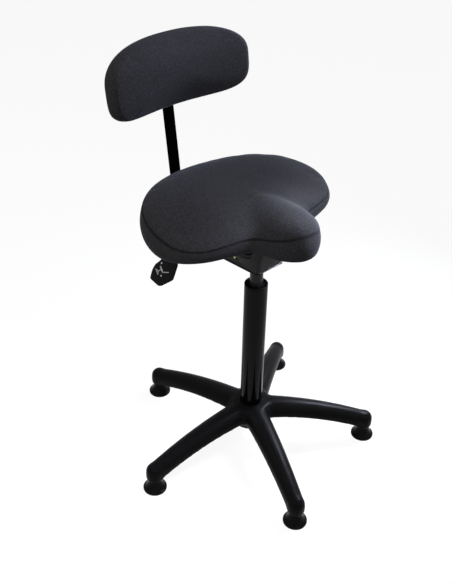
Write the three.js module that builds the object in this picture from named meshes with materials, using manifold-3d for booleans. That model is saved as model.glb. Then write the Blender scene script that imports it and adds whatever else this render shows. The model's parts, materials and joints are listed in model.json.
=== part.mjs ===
// A perch stool: five-legged base on glides, gas-lift column, saddle seat, height lever and a small backrest
// on a flat steel bar. Millimetres, +Z up, the sitter faces -Y and the lever is on the sitter's right, at -X.
// Everything is drawn about the column's axis, and the last lines move the whole to the middle of its box.
import * as THREE from "three";
import { mergeVertices } from "three/addons/utils/BufferGeometryUtils.js";
import Module from "manifold-3d";

const wasm = await Module();
wasm.setup();

// Clearances and counts
const gap = 0.3;
const overrun = 4;
const weld = 0.0005;
const roundSides = 32;
const footSides = 20;
const smallSides = 16;
const screwSides = 12;
const degree = Math.PI / 180;

// Base
const base = {
  legCount: 5,
  firstAngle: 32 * degree,
  footCircle: 270.7,
  legRootHalfWidth: 30,
  legTaper: 14,
  legRootTop: 118,
  legTopFall: 48,
  legRootUnderside: 79,
  legUndersideRise: 22,
  legUndersideFall: 69,
  legStart: 24,
  edgeRound: 3,
  wall: 4.5,
  pocketStart: 62,
  pocketEnd: 240,
  pocketCount: 3,
  rib: 5,
};
const hub = {
  radius: 49,
  skirtRadius: 46,
  bottom: 60,
  top: 117,
  shoulder: 10,
};
const boss = { radius: 18.5, bottom: 29, top: 72, dome: 19 };
const glide = {
  radius: 26.1,
  height: 28.7,
  rim: 5,
  edge: 1.6,
  neckRadius: 13,
  socketFloor: 8,
};
const stem = { radius: 5.5, top: 58, tip: 2 };

// Column and gas spring
const column = {
  radius: 25,
  wall: 2,
  bottom: 54,
  floor: 4,
  taperTop: 120,
  taperRadius: 24.2,
};
const sleeve = { wall: 2.4, bottom: 62, top: 120 };
const bush = { length: 90, flange: 3, flangeRadius: 25, chamfer: 1.2 };
const washer = { radius: 10, thickness: 2.6 };
const bearing = { radius: 9.5, thickness: 4 };
const buffer = { radius: 11, height: 11.4, waist: 1.5 };
const rod = { radius: 5, tailRadius: 4, tail: 6, pistonRadius: 11.6, piston: 12, cushion: 1.9 };
const clip = { radius: 8, thickness: 3 };
const spring = {
  radius: 14,
  bore: 12,
  guide: 13,
  stroke: 250,
  neck: 101,
  cone: 46,
  coneTopRadius: 13.2,
  belowHousingTop: 22.4,
  head: 41,
};
const pin = { radius: 4, stands: 7, length: 40, dome: 1.5 };

// Seat
const seat = {
  halfWidth: 216,
  nose: 142,
  rear: 240,
  middle: 50,
  foot: 567,
  band: 58,
  footRise: 10,
  crown: 11,
  centreHeight: 67,
  ridge: 20,
  ridgeSpread: 34,
  ridgeFrom: 20,
  ridgeTo: -70,
  bulge: 3,
  edge: 6,
  seamWidth: 1.2,
  seamDepth: 1.4,
};
// Half of the seat's outline from the nose round to the rear: along the depth, across the half width,
// height of the seam in the band, and rise of the lower edge.
const seatOutlineShares = [
  [1.0, 0.0, 1.08, 0.3],
  [0.985, 0.11, 1.05, 0.35],
  [0.91, 0.235, 0.86, 0.45],
  [0.785, 0.33, 0.7, 0.75],
  [0.75, 0.53, 0.68, 1.0],
  [0.705, 0.765, 0.59, 0.9],
  [0.61, 0.945, 0.59, 0.5],
  [0.49, 0.995, 0.77, 0.1],
  [0.335, 0.925, 0.89, 0.0],
  [0.22, 0.785, 0.92, 0.0],
  [0.125, 0.585, 0.88, 0.0],
  [0.045, 0.33, 0.75, 0.0],
  [0.0, 0.0, 0.66, 0.0],
];
const seatSteps = 48;
const topShares = [0.16, 0.36, 0.54, 0.7, 0.83, 0.91, 0.96];
const fallPower = 2.2;
const crownPower = 24;
const board = { thickness: 12, share: 0.9, screwDepth: 11 };
const boardTopShares = [0.55];

// Mechanism under the seat
const housing = {
  front: 36,
  rear: 150,
  frontHalfWidth: 35,
  rearHalfWidth: 55,
  height: 68.4,
  wall: 2.5,
  corner: 10,
  edge: 3,
  frontLean: 9,
  bead: 2,
};
const plate = { thickness: 3, halfWidth: 78, front: 52, rear: 168, corner: 12 };
const cone = { outer: 18, below: 2, stops: 3 };
const plug = { radius: 17, y: -4, belowTop: 21.4, rim: 2.4, ringWidth: 6.5, depth: 6, disc: 2 };
const sideScrew = {
  y: 22.5,
  aboveBottom: 19,
  headRadius: 3,
  head: 2.4,
  radius: 2,
  length: 9,
  holeAhead: 5.5,
  holeRadius: 1.9,
};
const slot = { y: 50, belowTop: 25.4, halfLength: 20, halfHeight: 13, rim: 3, flange: 1.6, depth: 5 };
const screw = { radius: 3, head: 3.4, headRadius: 5.5, socket: 2.4, socketDepth: 2, hole: 3.3 };
const seatScrew = { x: 66, front: 30, rear: 146 };

// Height lever
const lever = { radius: 4.5, sides: 8, steps: 32 };
const grip = {
  x: -160,
  y: 100.7,
  belowSeat: 52,
  droop: 60 * degree,
  yaw: 17.3 * degree,
  halfWidth: 25,
  length: 52,
  corner: 4,
  thickness: 8,
  flare: 2.4,
  bevel: 1.4,
  socketRadius: 8,
  socketLength: 26,
  rodInside: 20,
};

// Corners of the grip's face, across its half width and along its length, from the tip round to the left.
const gripOutlineShares = [
  [0.04, -1.02],
  [0.96, -0.61],
  [1.02, 0.0],
  [0.85, 0.25],
  [0.5, 0.34],
  [-0.3, 0.34],
  [-0.44, -0.02],
  [-0.83, -0.23],
  [-0.98, -0.48],
  [-0.98, -0.84],
];

// Backrest bar and its clamp
const bar = {
  width: 25,
  thickness: 8,
  aboveBottom: 33,
  setback: 254,
  inner: 60,
  bend: 40,
  lean: 7.9 * degree,
  aboveBack: 54.5,
  round: 1,
};
const sleeveGuide = { wall: 3, front: 76, rear: 153 };
const knob = { radius: 19, lobeCount: 5, lobeDepth: 2.2, height: 15, bevel: 2, points: 40 };
const knobScrew = { radius: 4, head: 10 };
const depthKnob = { y: 118 };

// Backrest
const back = {
  aboveSeat: 254.5,
  width: 367,
  tall: 147,
  arch: 16.5,
  droop: 8.5,
  front: 48,
  rear: 12,
  bow: 400,
  shellShare: 0.92,
  shell: 9,
};
const backPower = 3.3;
const backSteps = 40;
const backFrontShares = [0.2, 0.45, 0.66, 0.82, 0.92, 0.98];
const receiver = { width: 58, tall: 84, drop: 28, frontWall: 3.5, rearWall: 9, corner: 6 };
const backScrew = { x: 21, depth: 6 };
const barCap = { height: 6, skirt: 8, wall: 1.6 };

// Heights that follow from the seat's lower edge, and the stack on the column's floor, a gap between each two
const plateTop = seat.foot - gap;
const plateBottom = plateTop - plate.thickness;
const housingTop = plateBottom - gap;
const housingBottom = housingTop - housing.height;
const springTop = housingTop - spring.belowHousingTop;
const coneStart = springTop - spring.cone;
const coneBushTop = springTop - cone.stops;
const columnTop = springTop - spring.neck;
const barLevel = housingBottom + bar.aboveBottom;
const backHeight = seat.foot + back.aboveSeat;
const barTop = backHeight + bar.aboveBack;
const plugZ = housingTop - plug.belowTop;
const sideScrewZ = housingBottom + sideScrew.aboveBottom;
const slotZ = housingTop - slot.belowTop;
const gripZ = seat.foot - grip.belowSeat;
const washerLowZ = column.bottom + column.floor + gap;
const bearingZ = washerLowZ + washer.thickness + gap;
const washerHighZ = bearingZ + bearing.thickness + gap;
const shoulderZ = washerHighZ + washer.thickness + gap;
const springZ = shoulderZ + buffer.height + gap;
const pistonTop = springZ + spring.guide + rod.cushion + spring.stroke + rod.piston;

// Finishes
const finish = {
  nylon: new THREE.MeshStandardMaterial({ color: 0x1b1b1d, roughness: 0.55, metalness: 0 }),
  blackPaint: new THREE.MeshStandardMaterial({ color: 0x0b0b0c, roughness: 0.3, metalness: 0.2 }),
  steel: new THREE.MeshStandardMaterial({ color: 0x8c8f94, roughness: 0.35, metalness: 1 }),
  gloss: new THREE.MeshStandardMaterial({ color: 0x0a0a0b, roughness: 0.2, metalness: 0 }),
  rubber: new THREE.MeshStandardMaterial({ color: 0x141414, roughness: 0.9, metalness: 0 }),
  fabric: new THREE.MeshStandardMaterial({ color: 0x2c2d34, roughness: 0.95, metalness: 0 }),
  zinc: new THREE.MeshStandardMaterial({ color: 0xc9b36a, roughness: 0.35, metalness: 1 }),
  pale: new THREE.MeshStandardMaterial({ color: 0xd6d6d4, roughness: 0.5, metalness: 0 }),
  ply: new THREE.MeshStandardMaterial({ color: 0xa98759, roughness: 0.7, metalness: 0 }),
};

// Geometry helpers

// The geometry with only positions, shared vertices merged, collapsed faces dropped and its faces outward.
function closed(source) {
  const bare = source.index ? source.toNonIndexed() : source.clone();
  bare.deleteAttribute("normal");
  bare.deleteAttribute("uv");
  const merged = mergeVertices(bare, weld);
  const at = merged.attributes.position.array;
  const faces = [];
  let volume = 0;
  for (let i = 0; i < merged.index.count; i += 3) {
    const [a, b, c] = merged.index.array.subarray(i, i + 3);
    if (a === b || b === c || c === a) continue;
    faces.push(a, b, c);
    const [p, q, r] = [a, b, c].map((k) => new THREE.Vector3().fromArray(at, 3 * k));
    volume += p.dot(q.cross(r));
  }
  if (volume < 0) faces.reverse();
  merged.setIndex(faces);
  merged.computeVertexNormals();
  return merged;
}

function toSolid(geometry) {
  return new wasm.Manifold(
    new wasm.Mesh({
      numProp: 3,
      vertProperties: new Float32Array(geometry.attributes.position.array),
      triVerts: new Uint32Array(geometry.index.array),
    }),
  );
}

function fromSolid(solid) {
  const mesh = solid.getMesh();
  const made = new THREE.BufferGeometry();
  made.setAttribute("position", new THREE.BufferAttribute(mesh.vertProperties, 3));
  made.setIndex(new THREE.BufferAttribute(mesh.triVerts, 1));
  return closed(made);
}

function join(...shapes) {
  return fromSolid(shapes.map(toSolid).reduce((a, b) => a.add(b)));
}

function cut(shape, ...cutters) {
  return fromSolid(cutters.map(toSolid).reduce((a, b) => a.subtract(b), toSolid(shape)));
}

// A profile of [radius, height] pairs turned about the Z axis.
function turned(profile, sides = roundSides) {
  const points = profile.map(([r, z]) => new THREE.Vector2(r, z));
  return closed(new THREE.LatheGeometry(points, sides).rotateX(Math.PI / 2));
}

// A ring, or with an inner radius of zero a disc, between two heights.
function ring(inner, outer, low, high, sides = roundSides) {
  if (inner === 0) return turned([[0, low], [outer, low], [outer, high], [0, high]], sides);
  return turned([[inner, low], [outer, low], [outer, high], [inner, high], [inner, low]], sides);
}

// A skin through rings of points, closed at both ends by a fan about each end ring's middle.
function loft(rings) {
  const count = rings[0].length;
  const points = rings.flat();
  const faces = [];
  for (let i = 0; i + 1 < rings.length; i++) {
    for (let j = 0; j < count; j++) {
      const a = i * count + j;
      const b = i * count + ((j + 1) % count);
      faces.push(a, b, a + count, b, b + count, a + count);
    }
  }
  for (const last of [false, true]) {
    const ends = last ? rings[rings.length - 1] : rings[0];
    const first = last ? (rings.length - 1) * count : 0;
    const middle = ends.reduce((sum, p) => sum.add(p), new THREE.Vector3()).divideScalar(count);
    points.push(middle);
    for (let j = 0; j < count; j++) {
      const a = first + j;
      const b = first + ((j + 1) % count);
      if (last) faces.push(points.length - 1, a, b);
      else faces.push(points.length - 1, b, a);
    }
  }
  const made = new THREE.BufferGeometry().setFromPoints(points);
  made.setIndex(faces);
  return closed(made);
}

// The corners of a polygon, each rounded by a short curve, as [x, y] pairs.
function rounded(corners, radius, steps = 3) {
  const points = [];
  corners.forEach((corner, i) => {
    const before = corners[(i + corners.length - 1) % corners.length];
    const after = corners[(i + 1) % corners.length];
    const here = new THREE.Vector2(...corner);
    const start = new THREE.Vector2(...before).sub(here).setLength(radius).add(here);
    const end = new THREE.Vector2(...after).sub(here).setLength(radius).add(here);
    const curve = new THREE.QuadraticBezierCurve(start, here, end);
    curve.getPoints(steps).forEach((p) => points.push([p.x, p.y]));
  });
  return points;
}

function box(halfX, halfY) {
  return [[-halfX, -halfY], [halfX, -halfY], [halfX, halfY], [-halfX, halfY]];
}

// An outline of [x, y] pairs pulled up from one height to another.
function prism(outline, low, high) {
  const level = (z) => outline.map(([x, y]) => new THREE.Vector3(x, y, z));
  return loft([level(low), level(high)]);
}

function piece(parent, name, geometry, material) {
  const mesh = new THREE.Mesh(geometry, material);
  mesh.name = name;
  parent.add(mesh);
  return mesh;
}

// Base: hub, legs and foot bosses

const legHalfWidth = (r) => base.legRootHalfWidth - base.legTaper * (r / base.footCircle);
const legTop = (r) => base.legRootTop - base.legTopFall * (r / base.footCircle) ** 2;

function legUnderside(r) {
  const share = r / base.footCircle;
  return base.legRootUnderside + base.legUndersideRise * share - base.legUndersideFall * share ** 2;
}

// A section across a leg at radius r: a round top on straight sides, thinned by inset, down to low.
function legSection(r, inset, low) {
  const half = legHalfWidth(r) - inset;
  const centre = legTop(r) - inset - half;
  const steps = 6;
  const section = [];
  for (let i = 0; i <= steps; i++) {
    const a = (Math.PI * i) / steps;
    section.push([half * Math.cos(a), centre + half * Math.sin(a)]);
  }
  const corner = Math.min(base.edgeRound, centre - low);
  section.push([-half, low + corner]);
  section.push([-half + corner, low]);
  section.push([half - corner, low]);
  section.push([half, low + corner]);
  return section.map(([y, z]) => new THREE.Vector3(r, y, z));
}

function legBody() {
  const stations = 7;
  const rings = [];
  for (let i = 0; i <= stations; i++) {
    const r = base.legStart + ((base.footCircle - base.legStart) * i) / stations;
    rings.push(legSection(r, 0, legUnderside(r)));
  }
  return loft(rings);
}

// The hollows under a leg, with a rib left between each two.
function legPockets() {
  const length = (base.pocketEnd - base.pocketStart - base.rib * (base.pocketCount - 1)) / base.pocketCount;
  const pockets = [];
  for (let k = 0; k < base.pocketCount; k++) {
    const start = base.pocketStart + k * (length + base.rib);
    const rings = [start, start + length / 2, start + length].map((r) =>
      legSection(r, base.wall, legUnderside(r) - overrun),
    );
    pockets.push(loft(rings));
  }
  return pockets;
}

function bossBody() {
  const profile = [[0, boss.bottom], [boss.radius, boss.bottom]];
  const steps = 4;
  for (let i = 0; i <= steps; i++) {
    const a = ((Math.PI / 2) * i) / steps;
    profile.push([boss.radius * Math.cos(a), boss.top - boss.dome + boss.dome * Math.sin(a)]);
  }
  return turned(profile, footSides).translate(base.footCircle, 0, 0);
}

function sleeveRadius() {
  return column.radius + gap + sleeve.wall;
}

function hubBody() {
  const steps = 3;
  const profile = [[0, hub.bottom], [hub.skirtRadius, hub.bottom], [hub.radius, hub.top - hub.shoulder]];
  for (let i = 1; i <= steps; i++) {
    const a = ((Math.PI / 2) * i) / steps;
    profile.push([
      hub.radius - hub.shoulder * (1 - Math.cos(a)),
      hub.top - hub.shoulder * (1 - Math.sin(a)),
    ]);
  }
  profile.push([0, hub.top]);
  return turned(profile);
}

function baseStar() {
  const bodies = [hubBody()];
  const hollows = [ring(0, sleeveRadius() + gap, hub.bottom - overrun, base.legRootTop + overrun)];
  for (let k = 0; k < base.legCount; k++) {
    const angle = base.firstAngle + (2 * Math.PI * k) / base.legCount;
    bodies.push(legBody().rotateZ(angle), bossBody().rotateZ(angle));
    hollows.push(...legPockets().map((p) => p.rotateZ(angle)));
    const hole = ring(0, stem.radius + gap, boss.bottom - overrun, stem.top + gap, smallSides);
    hollows.push(hole.translate(base.footCircle, 0, 0).rotateZ(angle));
  }
  return cut(join(...bodies), ...hollows);
}

function glideBody() {
  const steps = 4;
  const { radius, edge, rim } = glide;
  const profile = [[0, 0], [radius - edge, 0], [radius, edge], [radius, rim]];
  for (let i = 1; i <= steps; i++) {
    const a = ((Math.PI / 2) * i) / steps;
    profile.push([
      glide.neckRadius + (glide.radius - glide.neckRadius) * (1 - Math.sin(a)) ** 0.9,
      glide.rim + (glide.height - glide.rim) * (1 - Math.cos(a)) ** 0.75,
    ]);
  }
  const socket = stem.radius + gap;
  profile.push([socket, glide.height], [socket, glide.socketFloor], [0, glide.socketFloor]);
  return turned(profile, footSides);
}

function stemBody() {
  return turned(
    [
      [0, glide.socketFloor + gap],
      [stem.radius, glide.socketFloor + gap],
      [stem.radius, stem.top - stem.tip],
      [stem.radius - stem.tip, stem.top],
      [0, stem.top],
    ],
    smallSides,
  );
}

// Column: tube, sleeve, guide bush and the bearing at its foot

function columnRadiusAt(z) {
  const share = Math.min(1, (z - column.bottom) / (column.taperTop - column.bottom));
  return column.taperRadius + (column.radius - column.taperRadius) * share;
}

function columnTube() {
  const inner = column.radius - column.wall;
  const floorTop = column.bottom + column.floor;
  const hole = rod.tailRadius + gap;
  return turned([
    [hole, column.bottom],
    [column.taperRadius, column.bottom],
    [column.radius, column.taperTop],
    [column.radius, columnTop],
    [inner, columnTop],
    [inner, column.taperTop],
    [column.taperRadius - column.wall, floorTop],
    [hole, floorTop],
    [hole, column.bottom],
  ]);
}

function hubSleeve() {
  const low = columnRadiusAt(sleeve.bottom) + gap;
  const high = columnRadiusAt(sleeve.top) + gap;
  return turned([
    [low, sleeve.bottom],
    [sleeveRadius(), sleeve.bottom],
    [sleeveRadius(), sleeve.top],
    [high, sleeve.top],
    [low, sleeve.bottom],
  ]);
}

function guideBush() {
  const inner = spring.radius + gap;
  const outer = column.radius - column.wall - gap;
  const seatZ = columnTop + gap;
  const top = seatZ + bush.flange;
  return turned([
    [inner, columnTop - bush.length],
    [outer, columnTop - bush.length],
    [outer, seatZ],
    [bush.flangeRadius, seatZ],
    [bush.flangeRadius, top - bush.chamfer],
    [bush.flangeRadius - bush.chamfer, top],
    [inner + bush.chamfer, top],
    [inner, top - bush.chamfer],
    [inner, columnTop - bush.length],
  ]);
}

function thrustBearing() {
  const inner = rod.tailRadius + gap;
  const top = bearingZ + bearing.thickness;
  const third = bearing.thickness / 3;
  const waist = bearing.radius - third;
  return turned(
    [
      [inner, bearingZ],
      [bearing.radius, bearingZ],
      [bearing.radius, bearingZ + third],
      [waist, bearingZ + bearing.thickness / 2],
      [bearing.radius, top - third],
      [bearing.radius, top],
      [inner, top],
      [inner, bearingZ],
    ],
    smallSides,
  );
}

function bufferBody() {
  const inner = rod.radius + gap;
  const top = shoulderZ + buffer.height;
  return turned(
    [
      [inner, shoulderZ],
      [buffer.radius, shoulderZ],
      [buffer.radius - buffer.waist, (shoulderZ + top) / 2],
      [buffer.radius, top],
      [inner, top],
      [inner, shoulderZ],
    ],
    smallSides,
  );
}

function pistonRod() {
  const foot = column.bottom - rod.tail;
  return turned(
    [
      [0, foot],
      [rod.tailRadius, foot],
      [rod.tailRadius, shoulderZ],
      [rod.radius, shoulderZ],
      [rod.radius, pistonTop - rod.piston],
      [rod.pistonRadius, pistonTop - rod.piston],
      [rod.pistonRadius, pistonTop],
      [0, pistonTop],
    ],
    smallSides,
  );
}

function gasCylinder() {
  const headFloor = springTop - spring.head;
  const pinHole = pin.radius + gap;
  return turned([
    [spring.bore, springZ],
    [spring.radius, springZ],
    [spring.radius, coneStart],
    [spring.coneTopRadius, springTop],
    [pinHole, springTop],
    [pinHole, headFloor],
    [spring.bore, headFloor],
    [spring.bore, springZ],
  ]);
}

function rodGuide() {
  return ring(rod.radius + gap, spring.bore - gap, springZ, springZ + spring.guide, smallSides);
}

function releasePin() {
  const top = springTop + pin.stands;
  return turned(
    [
      [0, top - pin.length],
      [pin.radius, top - pin.length],
      [pin.radius, top - pin.dome],
      [pin.radius - pin.dome, top],
      [0, top],
    ],
    smallSides,
  );
}

// Seat cushion and board

function seatCurve() {
  const depth = seat.nose + seat.rear;
  const half = seatOutlineShares.map(([along, across, rim, rise]) => ({
    x: across * seat.halfWidth,
    y: seat.rear - along * depth,
    rim: seat.foot + rim * seat.band,
    foot: seat.foot + rise * seat.footRise,
  }));
  const other = half.slice(1, -1).reverse().map((p) => ({ ...p, x: -p.x }));
  const all = [...half, ...other];
  const path = new THREE.CatmullRomCurve3(all.map((p) => new THREE.Vector3(p.x, p.y, p.rim)), true);
  const edge = new THREE.CatmullRomCurve3(all.map((p) => new THREE.Vector3(p.x, p.y, p.foot)), true);
  const points = [];
  for (let i = 0; i < seatSteps; i++) {
    const at = path.getPoint(i / seatSteps);
    points.push({ x: at.x, y: at.y, rim: at.z, foot: edge.getPoint(i / seatSteps).z });
  }
  return points;
}

// The seat's outline drawn in towards its middle by a share, at a height worked out for each point.
function seatRing(share, height) {
  return seatCurve().map((p) => {
    const x = p.x * share;
    const y = seat.middle + (p.y - seat.middle) * share;
    return new THREE.Vector3(x, y, height(p, x, y));
  });
}

// Height of the top: it falls from the middle to the seam, rounds over there and carries the nose's ridge.
function topHeight(share) {
  return (p, x, y) => {
    const fall = share ** fallPower;
    const flat = (seat.foot + seat.centreHeight) * (1 - fall) + p.rim * fall;
    const crown = seat.crown * (1 - share ** crownPower);
    const along = THREE.MathUtils.smoothstep(-y, -seat.ridgeFrom, -seat.ridgeTo);
    const ridge = seat.ridge * along * Math.exp(-((x / seat.ridgeSpread) ** 2)) * (1 - share ** 8);
    return flat + crown + ridge;
  };
}

function seatCushion() {
  const shareOf = (length) => length / seat.halfWidth;
  const pocket = board.share + shareOf(gap);
  const ceiling = board.thickness + gap;
  const rings = topShares.map((share) => seatRing(share, topHeight(share)));
  rings.push(seatRing(1, (p) => p.rim + seat.seamWidth));
  rings.push(seatRing(1 - shareOf(seat.seamDepth), (p) => p.rim));
  rings.push(seatRing(1 + shareOf(seat.seamWidth), (p) => p.rim - seat.seamWidth));
  rings.push(seatRing(1 + shareOf(seat.bulge), (p) => (p.rim + p.foot) / 2));
  rings.push(seatRing(1 + shareOf(seat.seamWidth), (p) => p.foot + seat.edge));
  rings.push(seatRing(1 - shareOf(seat.edge), (p) => p.foot));
  rings.push(seatRing(pocket, (p) => p.foot));
  rings.push(seatRing(pocket, (p) => p.foot + ceiling));
  boardTopShares.toReversed().forEach((share) => {
    rings.push(seatRing(share, boardHeight(share, ceiling)));
  });
  return loft(rings);
}

// The board and the hollow over it dip with the cushion's lower edge, and are flat in the middle.
function boardHeight(share, above) {
  return (p) => seat.foot + (p.foot - seat.foot) * (share / board.share) ** 4 + above;
}

function seatBoard() {
  const rings = [...boardTopShares, board.share].map((share) => seatRing(share, boardHeight(share, 0)));
  [board.share, ...boardTopShares.toReversed()].forEach((share) => {
    rings.push(seatRing(share, boardHeight(share, board.thickness)));
  });
  const holes = seatScrewPlaces().map(([x, y]) => {
    const hole = ring(0, screw.hole, seat.foot - overrun, seat.foot + board.screwDepth, smallSides);
    return hole.translate(x, y, 0);
  });
  return cut(loft(rings), ...holes);
}

// Mechanism

function seatScrewPlaces() {
  const xs = [-seatScrew.x, seatScrew.x];
  return [-seatScrew.front, seatScrew.rear].flatMap((y) => xs.map((x) => [x, y]));
}

// Half the housing's width at a place along it: its side walls spread towards the rear.
function housingWallX(y) {
  const share = (y + housing.front) / (housing.front + housing.rear);
  return housing.frontHalfWidth + (housing.rearHalfWidth - housing.frontHalfWidth) * share;
}

// The housing's outline, drawn in by inset, with its front leaning forward by the share of its height.
function housingOutline(inset, leanShare) {
  const front = -housing.front - housing.frontLean * leanShare;
  const narrow = housingWallX(front) - inset;
  const wide = housing.rearHalfWidth - inset;
  const corners = [
    [-narrow, front + inset],
    [narrow, front + inset],
    [wide, housing.rear - inset],
    [-wide, housing.rear - inset],
  ];
  return rounded(corners, housing.corner);
}

const housingWallAngle = Math.atan(
  (housing.rearHalfWidth - housing.frontHalfWidth) / (housing.front + housing.rear),
);

// Puts a shape that points along +Z onto the right wall, pointing out of it, at a place along the wall.
function onRightWall(shape, y, z) {
  return shape
    .rotateY(-Math.PI / 2)
    .rotateZ(housingWallAngle)
    .translate(-housingWallX(y), y, z);
}

function housingBody() {
  const level = (inset, leanShare, z) =>
    housingOutline(inset, leanShare).map(([x, y]) => new THREE.Vector3(x, y, z));
  const outer = loft([
    level(0, 0, housingBottom),
    level(-housing.bead, 0, housingBottom + housing.bead / 2),
    level(-housing.bead, 0, housingBottom + housing.bead),
    level(0, 0, housingBottom + housing.bead * 1.5),
    level(0, 1, housingTop),
  ]);
  const inner = loft([
    level(housing.wall + housing.edge, 0, housingBottom + housing.wall),
    level(housing.wall, 0, housingBottom + housing.wall + housing.edge),
    level(housing.wall, 1, housingTop + overrun),
  ]);
  const through = housing.wall + overrun;
  const floorHole = ring(0, cone.outer + gap, housingBottom - overrun, housingBottom + through);
  const plugHole = onRightWall(ring(0, plug.radius + gap, -through, overrun, footSides), plug.y, plugZ);
  const screwHole = ring(0, sideScrew.radius + gap, -through, overrun, smallSides);
  const bareHole = ring(0, sideScrew.holeRadius, -through, overrun, smallSides);
  const leverHole = prism(
    rounded(box(slot.halfHeight + gap, slot.halfLength + gap), slot.rim),
    -through,
    overrun,
  );
  const barHole = prism(
    box(bar.width / 2 + gap + sleeveGuide.wall + gap, bar.thickness / 2 + gap + sleeveGuide.wall + gap),
    -through,
    through,
  ).rotateX(Math.PI / 2);
  const clampRadius = knobScrew.radius + gap;
  const clampHole = ring(0, clampRadius, housingBottom - overrun, housingBottom + through, smallSides);
  return cut(
    outer,
    inner,
    floorHole,
    plugHole,
    onRightWall(screwHole, sideScrew.y, sideScrewZ),
    onRightWall(bareHole, sideScrew.y - sideScrew.holeAhead, sideScrewZ),
    onRightWall(leverHole, slot.y, slotZ),
    barHole.translate(0, housing.rear, barLevel),
    clampHole.translate(0, depthKnob.y, 0),
  );
}

function coneBush() {
  const low = housingBottom - cone.below;
  const slope = (spring.radius - spring.coneTopRadius) / (springTop - coneStart);
  const high = spring.radius - slope * (coneBushTop - coneStart);
  return turned([
    [spring.radius + gap, low],
    [cone.outer, low],
    [cone.outer, coneBushTop],
    [high + gap, coneBushTop],
    [spring.radius + gap, coneStart],
    [spring.radius + gap, low],
  ]);
}

function topPlate() {
  const outline = rounded(
    [
      [-plate.halfWidth, -plate.front],
      [plate.halfWidth, -plate.front],
      [plate.halfWidth, plate.rear],
      [-plate.halfWidth, plate.rear],
    ],
    plate.corner,
  );
  const holes = seatScrewPlaces().map(([x, y]) =>
    ring(0, screw.hole, plateBottom - overrun, plateTop + overrun, smallSides).translate(x, y, 0),
  );
  return cut(prism(outline, plateBottom, plateTop), ...holes);
}

function plugRing() {
  const inner = plug.radius - plug.ringWidth;
  const profile = [
    [inner, -plug.depth],
    [plug.radius, -plug.depth],
    [plug.radius, gap],
    [plug.radius + plug.rim, gap],
    [plug.radius + plug.rim, plug.rim],
    [inner, plug.rim],
    [inner, -plug.depth],
  ];
  const shape = turned(profile, footSides);
  return onRightWall(shape, plug.y, plugZ);
}

function plugDisc() {
  const radius = plug.radius - plug.ringWidth - gap;
  return onRightWall(ring(0, radius, -plug.disc, plug.disc / 2, footSides), plug.y, plugZ);
}

function sideScrewBody() {
  const shape = turned(
    [
      [0, -sideScrew.length],
      [sideScrew.radius, -sideScrew.length],
      [sideScrew.radius, gap],
      [sideScrew.headRadius, gap],
      [sideScrew.headRadius, sideScrew.head / 2],
      [sideScrew.radius, sideScrew.head],
      [0, sideScrew.head],
    ],
    smallSides,
  );
  return onRightWall(shape, sideScrew.y, sideScrewZ);
}

function leverBush() {
  const outer = rounded(box(slot.halfHeight, slot.halfLength), slot.rim);
  const lip = rounded(box(slot.halfHeight + slot.rim, slot.halfLength + slot.rim), slot.rim);
  const opening = rounded(box(slot.halfHeight - slot.rim, slot.halfLength - slot.rim), slot.rim);
  const shape = cut(
    join(prism(outer, -slot.depth, slot.flange), prism(lip, gap, slot.flange)),
    prism(opening, -slot.depth - overrun, slot.flange + overrun),
  );
  return onRightWall(shape, slot.y, slotZ);
}

// A cap screw standing on its head, its shank upward from the height zero.
function capScrew(length) {
  const socket = new THREE.CylinderGeometry(screw.socket, screw.socket, screw.socketDepth + overrun, 6);
  socket.rotateX(Math.PI / 2).translate(0, 0, -screw.head - overrun / 2 + screw.socketDepth / 2);
  const body = turned(
    [
      [0, -screw.head],
      [screw.headRadius, -screw.head],
      [screw.headRadius, -gap],
      [screw.radius, -gap],
      [screw.radius, length],
      [0, length],
    ],
    screwSides,
  );
  return cut(body, closed(socket));
}

// Height lever: bent rod and its grip

const gripOut = new THREE.Vector3(-Math.cos(grip.yaw), -Math.sin(grip.yaw), 0);
const gripAcross = new THREE.Vector3(Math.sin(grip.yaw), -Math.cos(grip.yaw), 0);
const gripRoot = new THREE.Vector3(grip.x, grip.y, gripZ);

function leverPath() {
  const tipZ = springTop + pin.stands + gap + lever.radius;
  const pivot = new THREE.Vector3(-housingWallX(slot.y), slot.y, slotZ);
  const end = gripRoot.clone().addScaledVector(gripOut, grip.rodInside - grip.socketLength);
  const mouth = gripRoot.clone().addScaledVector(gripOut, -grip.socketLength - lever.radius);
  const entry = gripRoot.clone().addScaledVector(gripOut, -2 * grip.socketLength);
  return new THREE.CatmullRomCurve3([
    new THREE.Vector3(pin.radius + lever.radius / 2, -pin.radius, tipZ),
    new THREE.Vector3(-pin.radius, pin.radius, tipZ),
    new THREE.Vector3(pivot.x / 2, pivot.y / 2, (tipZ + slotZ) / 2 + lever.radius / 2),
    pivot,
    new THREE.Vector3((pivot.x + entry.x) / 2, (pivot.y + entry.y) / 2 + lever.radius, (slotZ + gripZ) / 2),
    entry,
    mouth,
    end,
  ]);
}

function leverRod() {
  const section = new THREE.Shape();
  for (let i = 0; i < lever.sides; i++) {
    const a = (2 * Math.PI * i) / lever.sides;
    const [x, y] = [lever.radius * Math.cos(a), lever.radius * Math.sin(a)];
    if (i === 0) section.moveTo(x, y);
    else section.lineTo(x, y);
  }
  return closed(
    new THREE.ExtrudeGeometry(section, { steps: lever.steps, extrudePath: leverPath(), bevelEnabled: false }),
  );
}

function gripOutline() {
  const corners = gripOutlineShares.map(([across, along]) => [across * grip.halfWidth, along * grip.length]);
  return rounded(corners, grip.corner);
}

// The grip's outline at a depth behind its face, drawn in by inset: its right edge flares out to the rear.
function gripLevel(inset, depth) {
  const share = 1 - inset / grip.halfWidth;
  return gripOutline().map(([x, y]) => {
    const flare = x > 0 ? grip.flare * (depth / grip.thickness) * (x / grip.halfWidth) : 0;
    return new THREE.Vector3(x * share + flare, y * share, -depth);
  });
}

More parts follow.
